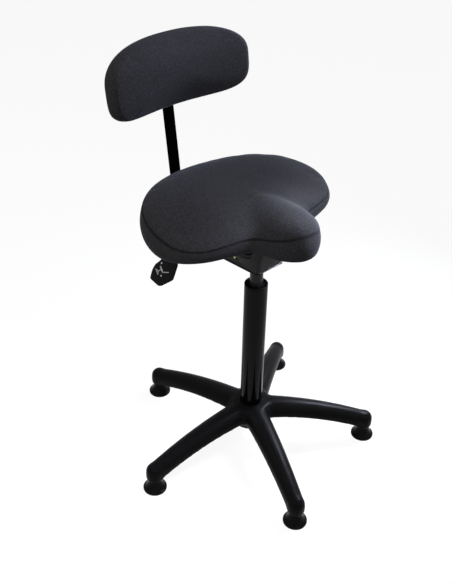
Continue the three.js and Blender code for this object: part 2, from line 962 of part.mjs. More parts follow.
function leverGrip() {
  const up = gripOut.clone().multiplyScalar(-Math.cos(grip.droop));
  up.z = Math.sin(grip.droop);
  const face = gripAcross.clone().cross(up);
  const frame = new THREE.Matrix4().makeBasis(gripAcross, up, face).setPosition(gripRoot);
  const blade = loft([
    gripLevel(grip.bevel, 0),
    gripLevel(0, grip.bevel),
    gripLevel(0, grip.thickness - grip.bevel),
    gripLevel(grip.bevel, grip.thickness),
  ]).applyMatrix4(frame);
  const socket = ring(0, grip.socketRadius, 0, grip.socketLength, smallSides);
  const bore = ring(0, lever.radius + gap, -overrun, grip.rodInside + gap, smallSides);
  const along = new THREE.Quaternion().setFromUnitVectors(new THREE.Vector3(0, 0, 1), gripOut);
  const start = gripRoot.clone().addScaledVector(gripOut, -grip.socketLength);
  const place = (shape) => shape.applyQuaternion(along).translate(start.x, start.y, start.z);
  return cut(join(closed(blade), place(socket)), place(bore));
}

// Backrest bar, its guide and the two clamping knobs

function uprightY(z) {
  return bar.setback + (z - barLevel) * Math.tan(bar.lean);
}

// The middle line of the bar from its inner end, round the bend and up to its top, as [y, z] pairs.
function barLine() {
  const turn = Math.PI / 2 - bar.lean;
  const tangent = bar.bend * Math.tan(turn / 2);
  const centre = [bar.setback - tangent, barLevel + bar.bend];
  const line = [[bar.inner, barLevel]];
  const steps = 8;
  for (let i = 0; i <= steps; i++) {
    const a = (turn * i) / steps;
    line.push([centre[0] + bar.bend * Math.sin(a), centre[1] - bar.bend * Math.cos(a)]);
  }
  line.push([uprightY(barTop), barTop]);
  return line;
}

function barBody() {
  const line = barLine().map(([y, z]) => new THREE.Vector2(y, z));
  const rings = line.map((p, i) => {
    const before = line[Math.max(0, i - 1)];
    const after = line[Math.min(line.length - 1, i + 1)];
    const along = after.clone().sub(before).normalize();
    const side = new THREE.Vector2(-along.y, along.x);
    return rounded(box(bar.width / 2, bar.thickness / 2), bar.round, 2).map(([x, t]) => {
      const at = p.clone().addScaledVector(side, t);
      return new THREE.Vector3(x, at.x, at.y);
    });
  });
  return loft(rings);
}

function barGuide() {
  const outerX = bar.width / 2 + gap + sleeveGuide.wall;
  const outerZ = bar.thickness / 2 + gap + sleeveGuide.wall;
  const length = sleeveGuide.rear - sleeveGuide.front;
  const outer = prism(rounded(box(outerX, outerZ), sleeveGuide.wall), 0, length);
  const inner = prism(box(outerX - sleeveGuide.wall, outerZ - sleeveGuide.wall), -overrun, length + overrun);
  const tube = cut(outer, inner).rotateX(-Math.PI / 2).translate(0, sleeveGuide.front, barLevel);
  const hole = ring(0, knobScrew.radius + gap, -outerZ - overrun, 0, smallSides);
  return cut(tube, hole.translate(0, depthKnob.y, barLevel));
}

// A lobed knob that stands on the height zero and points along -Z, with a blind hole for its screw.
function knobBody() {
  const lobed = (inset) => {
    const outline = [];
    for (let i = 0; i < knob.points; i++) {
      const a = (2 * Math.PI * i) / knob.points;
      const r = knob.radius - inset - (knob.lobeDepth * (1 - Math.cos(knob.lobeCount * a))) / 2;
      outline.push([r * Math.cos(a), r * Math.sin(a)]);
    }
    return outline;
  };
  const level = (inset, z) => lobed(inset).map(([x, y]) => new THREE.Vector3(x, y, z));
  const body = loft([
    level(knob.bevel, 0),
    level(0, -knob.bevel),
    level(0, knob.bevel - knob.height),
    level(knob.bevel, -knob.height),
  ]);
  return cut(body, ring(0, knobScrew.radius + gap, -knobScrew.head, overrun, smallSides));
}

function knobStud(length) {
  return ring(0, knobScrew.radius, gap - knobScrew.head, length, smallSides);
}

// Backrest, in its own frame: the bar's middle plane is y = 0 and z runs up along the bar

const backRearPlane = -(bar.thickness / 2 + gap + receiver.frontWall + gap);
const backMiddle = backRearPlane - back.rear;

// A point of the backrest's outline: a soft rectangle whose upper and lower edges fall away to both ends.
function backOutline(angle) {
  const soft = (value) => Math.sign(value) * Math.abs(value) ** (2 / backPower);
  const across = soft(Math.cos(angle));
  const up = soft(Math.sin(angle));
  const drop = up > 0 ? back.arch * up : -back.droop * up;
  return [(across * back.width) / 2, (up * back.tall) / 2 - drop * across ** 2];
}

// The outline drawn in by a share at a depth in front of the middle surface, bowed round the sitter.
function backRing(share, depth) {
  const points = [];
  for (let i = 0; i < backSteps; i++) {
    const [across, up] = backOutline((2 * Math.PI * i) / backSteps);
    const a = (across * share) / back.bow;
    const radius = back.bow - depth;
    points.push(
      new THREE.Vector3(
        radius * Math.sin(a),
        backMiddle - back.bow + radius * Math.cos(a),
        up * share,
      ),
    );
  }
  return points;
}

function backCushion() {
  const swell = (share) => back.front * (1 - share ** 2.9) ** (1 / 3.1);
  const pocket = back.shellShare + gap / (back.tall / 2);
  const floor = -back.rear + back.shell + gap;
  const rings = backFrontShares.map((share) => backRing(share, swell(share)));
  rings.push(backRing(1, 0));
  rings.push(backRing(0.99, -back.rear / 2));
  rings.push(backRing(0.97, -back.rear));
  rings.push(backRing(pocket, -back.rear));
  rings.push(backRing(pocket, floor));
  rings.push(backRing(0.4, floor));
  return loft(rings);
}

function backShell() {
  const low = -back.rear;
  const rings = [backRing(0.4, low), backRing(back.shellShare, low)];
  rings.push(backRing(back.shellShare, low + back.shell), backRing(0.4, low + back.shell));
  const holes = backScrewPlaces().map(([x, z]) => {
    const hole = ring(0, screw.hole, -overrun, backScrew.depth, smallSides).rotateX(Math.PI / 2);
    return hole.translate(x, backRearPlane, z - receiver.drop);
  });
  return cut(loft(rings), ...holes);
}

function backScrewPlaces() {
  const z = receiver.tall / 2 - receiver.corner - screw.headRadius;
  return [[-backScrew.x, -z], [backScrew.x, -z], [-backScrew.x, z], [backScrew.x, z]];
}

const receiverRear = bar.thickness / 2 + gap + receiver.rearWall;

function receiverBody() {
  const front = backRearPlane + gap;
  const outline = rounded(box(receiver.width / 2, receiver.tall / 2), receiver.corner);
  const taper = 1 - receiver.corner / receiver.width;
  const level = (share, y) => outline.map(([x, z]) => new THREE.Vector3(x * share, y, z * share));
  const body = loft([level(1, front), level(1, receiverRear - receiver.corner), level(taper, receiverRear)]);
  const channel = prism(
    box(bar.width / 2 + gap, bar.thickness / 2 + gap),
    -receiver.tall / 2 - overrun,
    receiver.tall / 2 + overrun,
  );
  const stud = ring(0, knobScrew.radius + gap, 0, receiverRear + overrun, smallSides).rotateX(-Math.PI / 2);
  const screws = backScrewPlaces().flatMap(([x, z]) => {
    const shank = ring(0, screw.hole, front - overrun, receiverRear + overrun, smallSides);
    const seatDepth = front + receiver.frontWall;
    const head = ring(0, screw.headRadius + gap, seatDepth, receiverRear + overrun, smallSides);
    return [shank, head].map((s) => s.rotateX(-Math.PI / 2).translate(x, 0, z));
  });
  return cut(body, channel, stud, ...screws);
}

function barCapBody() {
  const half = [bar.width / 2 + gap + barCap.wall, bar.thickness / 2 + gap + barCap.wall];
  const outer = loft([
    rounded(box(...half), barCap.wall).map(([x, y]) => new THREE.Vector3(x, y, -barCap.skirt)),
    rounded(box(...half), barCap.wall).map(([x, y]) => new THREE.Vector3(x, y, barCap.height - barCap.wall)),
    rounded(box(half[0] - barCap.wall, half[1] - barCap.wall), barCap.wall).map(
      ([x, y]) => new THREE.Vector3(x, y, barCap.height),
    ),
  ]);
  const inner = prism(box(bar.width / 2 + gap, bar.thickness / 2 + gap), -barCap.skirt - overrun, gap);
  return cut(outer, inner);
}

// Assembly

const stool = new THREE.Group();

const basePart = new THREE.Group();
stool.add(basePart);
piece(basePart, "base_star", baseStar(), finish.nylon);
piece(basePart, "hub_sleeve", hubSleeve(), finish.blackPaint);
for (let k = 0; k < base.legCount; k++) {
  const angle = base.firstAngle + (2 * Math.PI * k) / base.legCount;
  const foot = new THREE.Group();
  foot.position.set(base.footCircle * Math.cos(angle), base.footCircle * Math.sin(angle), 0);
  basePart.add(foot);
  piece(foot, `glide_${k + 1}`, glideBody(), finish.nylon);
  piece(foot, `glide_stem_${k + 1}`, stemBody(), finish.steel);
}
piece(basePart, "column_tube", columnTube(), finish.blackPaint);
piece(basePart, "guide_bush", guideBush(), finish.gloss);
const tailHole = rod.tailRadius + gap;
piece(
  basePart,
  "bearing_washer_lower",
  ring(tailHole, washer.radius, washerLowZ, washerLowZ + washer.thickness, smallSides),
  finish.steel,
);
piece(basePart, "thrust_bearing", thrustBearing(), finish.steel);

const rodPart = new THREE.Group();
stool.add(rodPart);
piece(rodPart, "piston_rod", pistonRod(), finish.steel);
piece(
  rodPart,
  "bearing_washer_upper",
  ring(tailHole, washer.radius, washerHighZ, washerHighZ + washer.thickness, smallSides),
  finish.steel,
);
piece(rodPart, "buffer", bufferBody(), finish.rubber);
const clipTop = column.bottom - gap;
piece(
  rodPart,
  "retaining_clip",
  ring(tailHole, clip.radius, clipTop - clip.thickness, clipTop, smallSides),
  finish.steel,
);

const seatPart = new THREE.Group();
stool.add(seatPart);
piece(seatPart, "gas_cylinder", gasCylinder(), finish.blackPaint);
piece(seatPart, "rod_guide", rodGuide(), finish.steel);
piece(seatPart, "release_pin", releasePin(), finish.steel);
piece(seatPart, "mechanism_housing", housingBody(), finish.blackPaint);
piece(seatPart, "cone_bush", coneBush(), finish.steel);
piece(seatPart, "top_plate", topPlate(), finish.blackPaint);
piece(seatPart, "blanking_plug", plugRing(), finish.gloss);
piece(seatPart, "blanking_plug_disc", plugDisc(), finish.pale);
piece(seatPart, "side_screw", sideScrewBody(), finish.zinc);
piece(seatPart, "lever_bush", leverBush(), finish.nylon);
piece(seatPart, "bar_guide", barGuide(), finish.steel);
piece(seatPart, "seat_board", seatBoard(), finish.ply);
piece(seatPart, "seat_cushion", seatCushion(), finish.fabric);
seatScrewPlaces().forEach(([x, y], i) => {
  const mesh = piece(
    seatPart,
    `seat_screw_${i + 1}`,
    capScrew(plate.thickness + board.screwDepth - gap),
    finish.steel,
  );
  mesh.position.set(x, y, plateBottom);
});

const leverPart = new THREE.Group();
stool.add(leverPart);
piece(leverPart, "lever_rod", leverRod(), finish.steel);
piece(leverPart, "lever_grip", leverGrip(), finish.nylon);

const barPart = new THREE.Group();
stool.add(barPart);
piece(barPart, "backrest_bar", barBody(), finish.blackPaint);
const capMesh = piece(barPart, "bar_cap", barCapBody(), finish.nylon);
capMesh.position.set(0, uprightY(barTop), barTop);
capMesh.rotation.x = -bar.lean;

const depthKnobPart = new THREE.Group();
depthKnobPart.position.set(0, depthKnob.y, housingBottom - gap);
stool.add(depthKnobPart);
piece(depthKnobPart, "depth_knob", knobBody(), finish.nylon);
const clampReach = barLevel - bar.thickness / 2 - gap - (housingBottom - gap);
piece(depthKnobPart, "depth_knob_screw", knobStud(clampReach), finish.steel);

const backPart = new THREE.Group();
backPart.position.set(0, uprightY(backHeight), backHeight);
backPart.rotation.x = -bar.lean;
stool.add(backPart);
piece(backPart, "back_receiver", receiverBody(), finish.nylon).position.z = -receiver.drop;
piece(backPart, "back_shell", backShell(), finish.nylon);
piece(backPart, "back_cushion", backCushion(), finish.fabric);
backScrewPlaces().forEach(([x, z], i) => {
  const mesh = piece(
    backPart,
    `back_screw_${i + 1}`,
    capScrew(receiver.frontWall + backScrew.depth - gap),
    finish.steel,
  );
  mesh.position.set(x, backRearPlane + gap + receiver.frontWall, z - receiver.drop);
  mesh.rotation.x = Math.PI / 2;
});

const backKnobPart = new THREE.Group();
backKnobPart.position.set(0, receiverRear + gap, -receiver.drop);
backKnobPart.rotation.x = Math.PI / 2;
backPart.add(backKnobPart);
piece(backKnobPart, "back_knob", knobBody(), finish.nylon);
const studReach = receiverRear + gap - bar.thickness / 2 - gap;
piece(backKnobPart, "back_knob_screw", knobStud(studReach), finish.steel);

// The origin goes to the floor under the middle of the whole object's box.
stool.updateMatrixWorld(true);
const whole = new THREE.Box3().setFromObject(stool, true);
const middle = whole.getCenter(new THREE.Vector3());
stool.position.set(-middle.x, -middle.y, -whole.min.z);

export default stool;
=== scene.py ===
# %% [markdown]
# # A perch stool, dressed piece by piece
#
# The construction of the stool comes ready made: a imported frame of 52 closed solids, each with its own place,
# and the joints between them. This lesson gives that frame its looks. Shapes that light will play on are made
# afresh at a finer grain, soft parts are sewn and blown up by cloth simulation, and every surface gets a
# finish made of nodes. Nothing is moved: each new piece takes its place from the solid that it stands for.

# %% Load the frame
import json
import math

import bmesh
import bpy
import numpy as np
from mathutils import Matrix, Vector
from mathutils.geometry import interpolate_bezier
from mathutils.kdtree import KDTree


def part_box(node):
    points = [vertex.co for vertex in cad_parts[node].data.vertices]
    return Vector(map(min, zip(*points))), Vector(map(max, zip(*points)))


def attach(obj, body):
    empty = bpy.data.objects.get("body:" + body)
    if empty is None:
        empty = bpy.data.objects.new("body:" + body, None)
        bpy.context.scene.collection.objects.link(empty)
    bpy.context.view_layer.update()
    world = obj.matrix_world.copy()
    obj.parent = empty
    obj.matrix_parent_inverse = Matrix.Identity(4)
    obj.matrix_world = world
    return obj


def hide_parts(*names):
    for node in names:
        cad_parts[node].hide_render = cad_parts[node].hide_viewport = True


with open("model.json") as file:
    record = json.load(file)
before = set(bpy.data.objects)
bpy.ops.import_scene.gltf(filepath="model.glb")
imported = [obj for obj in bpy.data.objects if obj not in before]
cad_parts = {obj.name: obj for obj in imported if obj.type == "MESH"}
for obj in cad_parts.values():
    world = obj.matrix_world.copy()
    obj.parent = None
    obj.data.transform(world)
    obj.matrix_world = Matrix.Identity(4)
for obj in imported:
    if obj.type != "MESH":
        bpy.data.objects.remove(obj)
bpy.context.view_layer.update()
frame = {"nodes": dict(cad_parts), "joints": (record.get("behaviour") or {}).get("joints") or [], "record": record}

record = frame["record"]
slot_of = {part["node"]: part["material_slot"] for part in record["subparts"]}
body_of = {node: body for body, nodes in record["behaviour"]["bodies"].items() for node in nodes}

# %% [markdown]
# ## Units and places
#
# Blender works in metres and stool makers in millimetres, so one name turns the second into the first. Every
# turned part stands on the column's axis, and the other places are read from the boxes of the solids.

# %% Millimetres, and places read from the frame
MM = 0.001


def middle(node):
    low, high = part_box(node)
    return (low + high) / 2


def size(node):
    low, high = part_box(node)
    return high - low


# Corners nearer than this are one.
WELD, SOLID_WELD = 0.001 * MM, 0.002 * MM
AXIS = Vector((middle("column_tube").x, middle("column_tube").y, 0))
FEET = [middle(f"glide_{k}") for k in range(1, 6)]
LEG_REACH = (FEET[0] - AXIS).xy.length
print("column axis:", tuple(round(x / MM, 1) for x in AXIS), "leg reach:", round(LEG_REACH / MM, 1))

# %% [markdown]
# ## Arithmetic on sockets
#
# A shader is a net of nodes, and its sums are hard to read as boxes and wires. A small class that wraps one
# socket lets them be written as Python: an expression on wrapped sockets adds the Math nodes that it needs.
# One method makes every other kind of node, with its settings first and then what goes into its sockets.


# %% A socket that can be added and multiplied
class Wire:
    """An output socket of a material, which arithmetic and node() carry on from."""

    def __init__(self, tree, socket=None):
        self.tree = tree
        self.socket = socket

    def node(self, kind, settings=None, inputs=None, output=0):
        """Adds a shader node, sets it, fills its sockets with values or links, and wraps one output."""
        made = self.tree.nodes.new("ShaderNode" + kind)
        for key, value in (settings or {}).items():
            setattr(made, key, value)
        for key, value in (inputs or {}).items():
            if isinstance(value, Wire):
                self.tree.links.new(value.socket, made.inputs[key])
            else:
                made.inputs[key].default_value = value
        return Wire(self.tree, made.outputs[output])

    def sum(self, operation, first, second):
        return self.node("Math", {"operation": operation}, {0: first, 1: second})

    def __add__(self, other):
        return self.sum("ADD", self, other)

    def __mul__(self, other):
        return self.sum("MULTIPLY", self, other)

    __radd__ = __add__
    __rmul__ = __mul__

    def between(self, low, high):
        """Zero below low, one above high and a straight rise between them."""
        return self.node("MapRange", {}, {"Value": self, "From Min": low, "From Max": high})

    def blend(self, first, second):
        """A colour that goes from first to second as this value goes from zero to one."""
        return self.node("Mix", {"data_type": "RGBA"}, {0: self, 6: first, 7: second}, 2)


# %% [markdown]
# ## Finishes
#
# All finishes share one frame: a Principled shader with some plain values, whose colour, roughness and relief
# come from wires. A noise on Object coordinates keeps its real scale on every piece, because each object sits
# at the origin and the pattern is measured in metres.


# %% One frame for all finishes
def colour(red, green, blue):
    return (red, green, blue, 1.0)


def toned(tone, share=1.0):
    """A tone of three parts as a colour, darker or lighter by a share."""
    return colour(*(part * share for part in tone))


def noise(place, scale, detail=2.0, stretch=(1.0, 1.0, 1.0)):
    """A noise about 0.5 with grains of 1/scale metres, drawn out along an axis by a stretch below one."""
    mapped = place.node("Mapping", {}, {"Vector": place, "Scale": stretch})
    return mapped.node("TexNoise", {}, {"Vector": mapped, "Scale": scale, "Detail": detail}, 0)


def finish(name, paint, plain, *values):
    """A material: paint(place, *values) gives wires for sockets and relief, plain sets other sockets."""
    material = bpy.data.materials.new(name)
    material.use_nodes = True
    tree = material.node_tree
    shader = tree.nodes["Principled BSDF"]
    for key, value in plain.items():
        shader.inputs[key].default_value = value
    place = Wire(tree).node("TexCoord", {}, {}, 3)
    looks = paint(place, *values)
    relief = {"Height": looks.pop("relief"), "Distance": looks.pop("depth"), "Strength": 1.0}
    looks["Normal"] = place.node("Bump", {}, relief)
    for key, wire in looks.items():
        tree.links.new(wire.socket, shader.inputs[key])
    print("finish", name, "with", len(tree.nodes), "nodes")
    return material


# %% [markdown]
# ### Black mouldings
#
# The base, the glides, the shell and the grips are moulded black plastics. They differ in gloss and in the
# grain that the mould leaves. A fine noise gives the grain's relief, and a slow one the uneven gloss of a
# moulding, with faint scuffs where hands and shoes rub.


# %% Moulded plastic
def moulded(place, tone, roughness, grain, depth):
    cloud = noise(place, 18, 3)
    fine = noise(place, grain, 3)
    scuff = noise(place, 260, 4, (1.0, 0.25, 1.0)).between(0.62, 0.8)
    return {
        "Base Color": (fine * 0.5 + cloud * 0.5).blend(toned(tone, 0.75), toned(tone, 1.25)),
        "Roughness": roughness - 0.06 + cloud * 0.12 + scuff * 0.05,
        "relief": fine,
        "depth": depth,
    }


# %% [markdown]
# ### Paint on steel
#
# The column, the mechanism and the bar are painted steel. Powder coat has a soft ripple, called orange peel,
# and gloss paint is nearly a black mirror: its index of refraction sets how much of the room it shows.


# %% Paint
def painted(place, tone, roughness, peel, depth):
    cloud = noise(place, 12, 2)
    ripple = noise(place, peel, 1)
    return {
        "Base Color": cloud.blend(toned(tone, 0.85), toned(tone, 1.15)),
        "Roughness": roughness - 0.02 + cloud * 0.04 + ripple * 0.02,
        "relief": ripple,
        "depth": depth,
    }


# %% [markdown]
# ### Plated steel, rubber and plywood
#
# Plated parts are bright metal with a fine brushed grain. Rubber is matt and mottled. Plywood shows long
# fibres on its faces, drawn out along one axis by stretching the noise.


# %% Metal, rubber and wood
def plated(place, tone, roughness):
    brushed = noise(place, 900, 3, (1.0, 1.0, 0.06))
    tarnish = noise(place, 40, 3)
    return {
        "Base Color": tarnish.blend(toned(tone, 0.8), toned(tone)),
        "Roughness": roughness + brushed * 0.12 + tarnish * 0.1,
        "relief": brushed,
        "depth": 0.02 * MM,
    }


def rubber(place, tone):
    mottle = noise(place, 600, 4)
    return {
        "Base Color": mottle.blend(toned(tone, 0.7), toned(tone, 1.3)),
        "Roughness": 0.75 + mottle * 0.2,
        "relief": mottle,
        "depth": 0.05 * MM,
    }


def plywood(place, tone):
    fibre = noise(place, 160, 4, (1.0, 0.05, 1.0))
    band = noise(place, 14, 2, (1.0, 0.2, 1.0))
    return {
        "Base Color": (fibre * 0.7 + band * 0.3).between(0.3, 0.7).blend(toned(tone, 0.6), toned(tone)),
        "Roughness": 0.6 + fibre * 0.2,
        "relief": fibre,
        "depth": 0.15 * MM,
    }


# %% [markdown]
# ### Charcoal cloth
#
# The cover is a close-woven charcoal cloth. From a step away its threads melt into a speckle of dark and
# blue-grey flecks, so the colour comes from two sizes of noise, and a thread relief catches the light. The
# seam carries an attribute that the sewing adds later: along it the colour is a painted shade for the stitches'
# dip.
# A soft sheen stands for the fibres that stick out and light up towards the edges.


# %% Cloth
def cloth(place, dark, mid, fleck, groove):
    threads = noise(place, 620, 3)
    speckle = noise(place, 450, 2)
    wear = noise(place, 9, 2)
    # The seam attribute is a painted shade: along the seam the colour goes to the dark groove tone.
    seam = place.node("Attribute", {"attribute_name": "seam"}, {}, 2)
    ground = (threads * 0.85 + wear * 0.15).between(0.38, 0.62).blend(toned(dark), toned(mid))
    flecked = speckle.between(0.53, 0.72).blend(ground, toned(fleck))
    return {
        "Base Color": seam.blend(flecked, toned(groove)),
        "Roughness": 0.8 + threads * 0.2,
        "relief": threads * 0.5 + speckle * 0.5,
        "depth": 0.4 * MM,
    }


CLOTH_SHEEN = {
    "Specular IOR Level": 0.09,
    "Sheen Weight": 0.08,
    "Sheen Roughness": 0.32,
    "Sheen Tint": colour(0.62, 0.68, 0.9),
}
# Dark and mid threads, flecks, and the painted shade in the seam's groove.
CLOTH_TONES = (0.013, 0.013, 0.013), (0.031, 0.031, 0.0312), (0.038, 0.035, 0.058), (0.005, 0.005, 0.0055)

# %% The stool's finishes: the record's slots, and two that only one piece has
# How it is made, its plain sockets, tone, roughness, grain per metre and depth of relief.
FINISH_ROWS = {
    "base_nylon": (moulded, {"IOR": 1.1}, (0.0045, 0.0045, 0.0048), 0.33, 1100, 0.06 * MM),
    "glide_plastic": (moulded, {"IOR": 1.12}, (0.004, 0.004, 0.0045), 0.3, 1400, 0.03 * MM),
    "grip_plastic": (moulded, {"IOR": 1.15}, (0.006, 0.006, 0.0065), 0.36, 1300, 0.05 * MM),
    "shell_plastic": (moulded, {"IOR": 1.35}, (0.012, 0.012, 0.013), 0.5, 900, 0.1 * MM),
    "black_paint": (painted, {"IOR": 1.24}, (0.012, 0.012, 0.0125), 0.32, 420, 0.05 * MM),
    "column_gloss": (painted, {"IOR": 1.17}, (0.002, 0.002, 0.0022), 0.1, 150, 0.01 * MM),
    "gloss_black": (painted, {"IOR": 1.14}, (0.002, 0.002, 0.0022), 0.06, 200, 0.01 * MM),
    "bright_steel": (plated, {"Metallic": 1.0}, (0.55, 0.56, 0.58), 0.22),
    "yellow_zinc": (plated, {"Metallic": 1.0}, (0.5, 0.42, 0.22), 0.3),
    "pale_plastic": (moulded, {}, (0.75, 0.75, 0.74), 0.35, 900, 0.02 * MM),
    "buffer_rubber": (rubber, {}, (0.02, 0.02, 0.02)),
    "plywood": (plywood, {}, (0.5, 0.36, 0.2)),
    "charcoal_fabric": (cloth, CLOTH_SHEEN, *CLOTH_TONES),
    "bar_paint": (painted, {"IOR": 1.03}, (0.001, 0.001, 0.0011), 0.34, 420, 0.05 * MM),
    "mark_paint": (moulded, {}, (0.36, 0.36, 0.35), 0.5, 900, 0.01 * MM),
}
FINISHES = {name: finish(name, *row) for name, row in FINISH_ROWS.items()}
for node, part in frame["nodes"].items():
    part.data.materials.clear()
    part.data.materials.append(FINISHES[slot_of[node]])

# %% [markdown]
# ## From a bmesh to a finished piece
#
# A shape is worked on as a bmesh and becomes an object at the end. The last step is always the same, so it is
# one helper: smooth shading that stops at sharp edges, the finish of a slot, the body that the piece rides on,
# and hiding the solid that it stands for. Most pieces take slot and body from their solid.


# %% Finishing a piece
def mesh_from(name, bm):
    mesh = bpy.data.meshes.new(name)
    bm.to_mesh(mesh)
    bm.free()
    return mesh


def shown(name, data):
    """A new object at the origin, in the scene."""
    made = bpy.data.objects.new(name, data)
    bpy.context.scene.collection.objects.link(made)
    return made


def finished(name, bm, slot, body, *nodes, sharp=35, paint=None):
    """A piece of the scene. It has the finish of its slot, unless paint names another."""
    mesh = mesh_from(name, bm)
    mesh.polygons.foreach_set("use_smooth", [True] * len(mesh.polygons))
    mesh.set_sharp_from_angle(angle=math.radians(sharp))
    piece = shown(name, mesh)
    mesh.materials.append(FINISHES[paint or slot])
    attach(piece, body)
    if nodes:
        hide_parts(*nodes)
    print(name, "has", len(mesh.polygons), "faces")
    return piece


def dressed(name, bm, node, **looks):
    """A piece that stands for one solid, with that solid's slot and body."""
    return finished(name, bm, slot_of[node], body_of[node], node, **looks)


def bevelled(bm, edges, width, segments=2):
    """Rounds some edges and gives back the corners that this made."""
    made = bmesh.ops.bevel(
        bm,
        geom=edges,
        offset=width,
        offset_type="OFFSET",
        segments=segments,
        profile=0.5,
        affect="EDGES",
        clamp_overlap=True,
        material=-1,
    )
    return made["verts"]


def soften(bm, width, angle=35, segments=2):
    """Rounds the edges that are sharper than an angle."""
    sharp = [e for e in bm.edges if e.is_manifold and e.calc_face_angle() > math.radians(angle)]
    bevelled(bm, sharp, width, segments)


def smoothed(piece, levels=2):
    """Leaves a subdivision surface on a piece, the same in the view as in the render."""
    rounding = piece.modifiers.new("smooth", "SUBSURF")
    rounding.levels = rounding.render_levels = levels


# %% [markdown]
# ## Turned parts
#
# The column, its bush, the cylinder, the glides and the plug are turned: a profile of radius and height, spun
# once round an axis. Its sharp corners are rounded afterwards, because a ring of sharp edges is easy to find
# by its angle.


# %% Spinning a profile
def turned(profile, steps=96, round_by=0.0, segments=3):
    """A body spun about Z from (radius, height) pairs; a profile off the axis comes back to its start."""
    bm = bmesh.new()
    points = [bm.verts.new((radius, 0, height)) for radius, height in profile]
    lines = [bm.edges.new(pair) for pair in zip(points, points[1:])]
    if all(radius > 0 for radius, _ in profile):
        lines.append(bm.edges.new((points[-1], points[0])))
    bmesh.ops.spin(
        bm,
        geom=points + lines,
        cent=(0, 0, 0),
        axis=(0, 0, 1),
        dvec=(0, 0, 0),
        angle=math.tau,
        steps=steps,
        use_merge=True,
        use_duplicate=False,
    )
    bmesh.ops.remove_doubles(bm, verts=bm.verts, dist=WELD)
    bmesh.ops.recalc_face_normals(bm, faces=bm.faces)
    if round_by:
        soften(bm, round_by, 30, segments)
    return bm


def placed(bm, at, turn=Matrix.Identity(4)):
    bmesh.ops.transform(bm, matrix=Matrix.Translation(at) @ turn, verts=bm.verts)
    return bm


# %% The column, its bush, the cylinder and the sleeve in the hub
column_low, column_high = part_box("column_tube")
bush_low, bush_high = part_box("guide_bush")
spring_low, spring_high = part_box("gas_cylinder")
sleeve_low, sleeve_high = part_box("hub_sleeve")
COLUMN_RADIUS = size("column_tube").x / 2
SPRING_RADIUS = size("gas_cylinder").x / 2
SLEEVE_RADIUS = size("hub_sleeve").x / 2
TUBE_WALL = 2 * MM
FIT = 0.3 * MM
TAPER = 0.8 * MM
TAPER_TOP = 120 * MM
CONE_LENGTH = 46 * MM
CONE_TOP_RADIUS = 13.2 * MM
PIN_HOLE = 4.3 * MM
TAIL_HOLE = 4.3 * MM
BUSH_FLANGE = 3 * MM

tube_bore = COLUMN_RADIUS - TUBE_WALL
floor_top = column_low.z + 2 * TUBE_WALL
tube_profile = [
    (TAIL_HOLE, column_low.z),
    (COLUMN_RADIUS - TAPER, column_low.z),
    (COLUMN_RADIUS, TAPER_TOP),
    (COLUMN_RADIUS, column_high.z),
    (tube_bore, column_high.z),
    (tube_bore, TAPER_TOP),
    (tube_bore - TAPER, floor_top),
    (TAIL_HOLE, floor_top),
]
dressed("column", placed(turned(tube_profile, round_by=0.4 * MM), AXIS), "column_tube")

bush_bore = SPRING_RADIUS + FIT
flange_low = bush_high.z - BUSH_FLANGE
bush_profile = [
    (bush_bore, bush_low.z),
    (tube_bore - FIT, bush_low.z),
    (tube_bore - FIT, flange_low),
    (COLUMN_RADIUS, flange_low),
    (COLUMN_RADIUS, bush_high.z),
    (bush_bore, bush_high.z),
]
dressed("bush", placed(turned(bush_profile, round_by=1.1 * MM, segments=4), AXIS), "guide_bush")

cone_low = spring_high.z - CONE_LENGTH
cylinder_profile = [
    (0, spring_low.z),
    (SPRING_RADIUS, spring_low.z),
    (SPRING_RADIUS, cone_low),
    (CONE_TOP_RADIUS, spring_high.z),
    (PIN_HOLE, spring_high.z),
    (PIN_HOLE, cone_low),
    (0, cone_low),
]
cylinder = placed(turned(cylinder_profile, round_by=0.8 * MM), AXIS)
dressed("cylinder", cylinder, "gas_cylinder", paint="black_paint")

sleeve_profile = [
    (COLUMN_RADIUS - TAPER + FIT, sleeve_low.z),
    (SLEEVE_RADIUS, sleeve_low.z),
    (SLEEVE_RADIUS, sleeve_high.z),
    (COLUMN_RADIUS + FIT, sleeve_high.z),
]
sleeve = placed(turned(sleeve_profile, round_by=0.6 * MM), AXIS)
finished("sleeve", sleeve, "gloss_black", "base", "hub_sleeve")

# %% [markdown]
# ## Glides
#
# Each leg stands on a bell-shaped glide: a flat foot, a thin rim, a hollow flank and a straight neck. The
# flank is a quarter of an oval, worked out by a formula, and the five glides are one spin repeated.

# %% Five glides
GLIDE_RADIUS = size("glide_1").x / 2
GLIDE_HEIGHT = size("glide_1").z
GLIDE_NECK = 13 * MM
GLIDE_RIM = 5 * MM
GLIDE_FLANK_STEPS, FLANK_IN, FLANK_UP = 10, 0.9, 0.75


def glide_profile():
    profile = [(0, 0), (GLIDE_RADIUS, 0), (GLIDE_RADIUS, GLIDE_RIM)]
    for step in range(1, GLIDE_FLANK_STEPS + 1):
        angle = math.pi / 2 * step / GLIDE_FLANK_STEPS
        radius = GLIDE_NECK + (GLIDE_RADIUS - GLIDE_NECK) * (1 - math.sin(angle)) ** FLANK_IN
        height = GLIDE_RIM + (GLIDE_HEIGHT - GLIDE_RIM) * (1 - math.cos(angle)) ** FLANK_UP
        profile.append((radius, height))
    return profile + [(0, GLIDE_HEIGHT)]


for number, foot in enumerate(FEET, start=1):
    glide = placed(turned(glide_profile(), 64, round_by=1.2 * MM), foot.xy.to_3d())
    dressed(f"glide_bell_{number}", glide, f"glide_{number}")

# %% [markdown]
# ## A skin from a rolled grid
#
# Legs, the bar and other long shapes are skins with a section that changes along them. A grid is a good
# start: one way along it becomes the way round the section, the other the way along the piece. Rolling it up
# joins its long edges, and its two open ends are then filled.


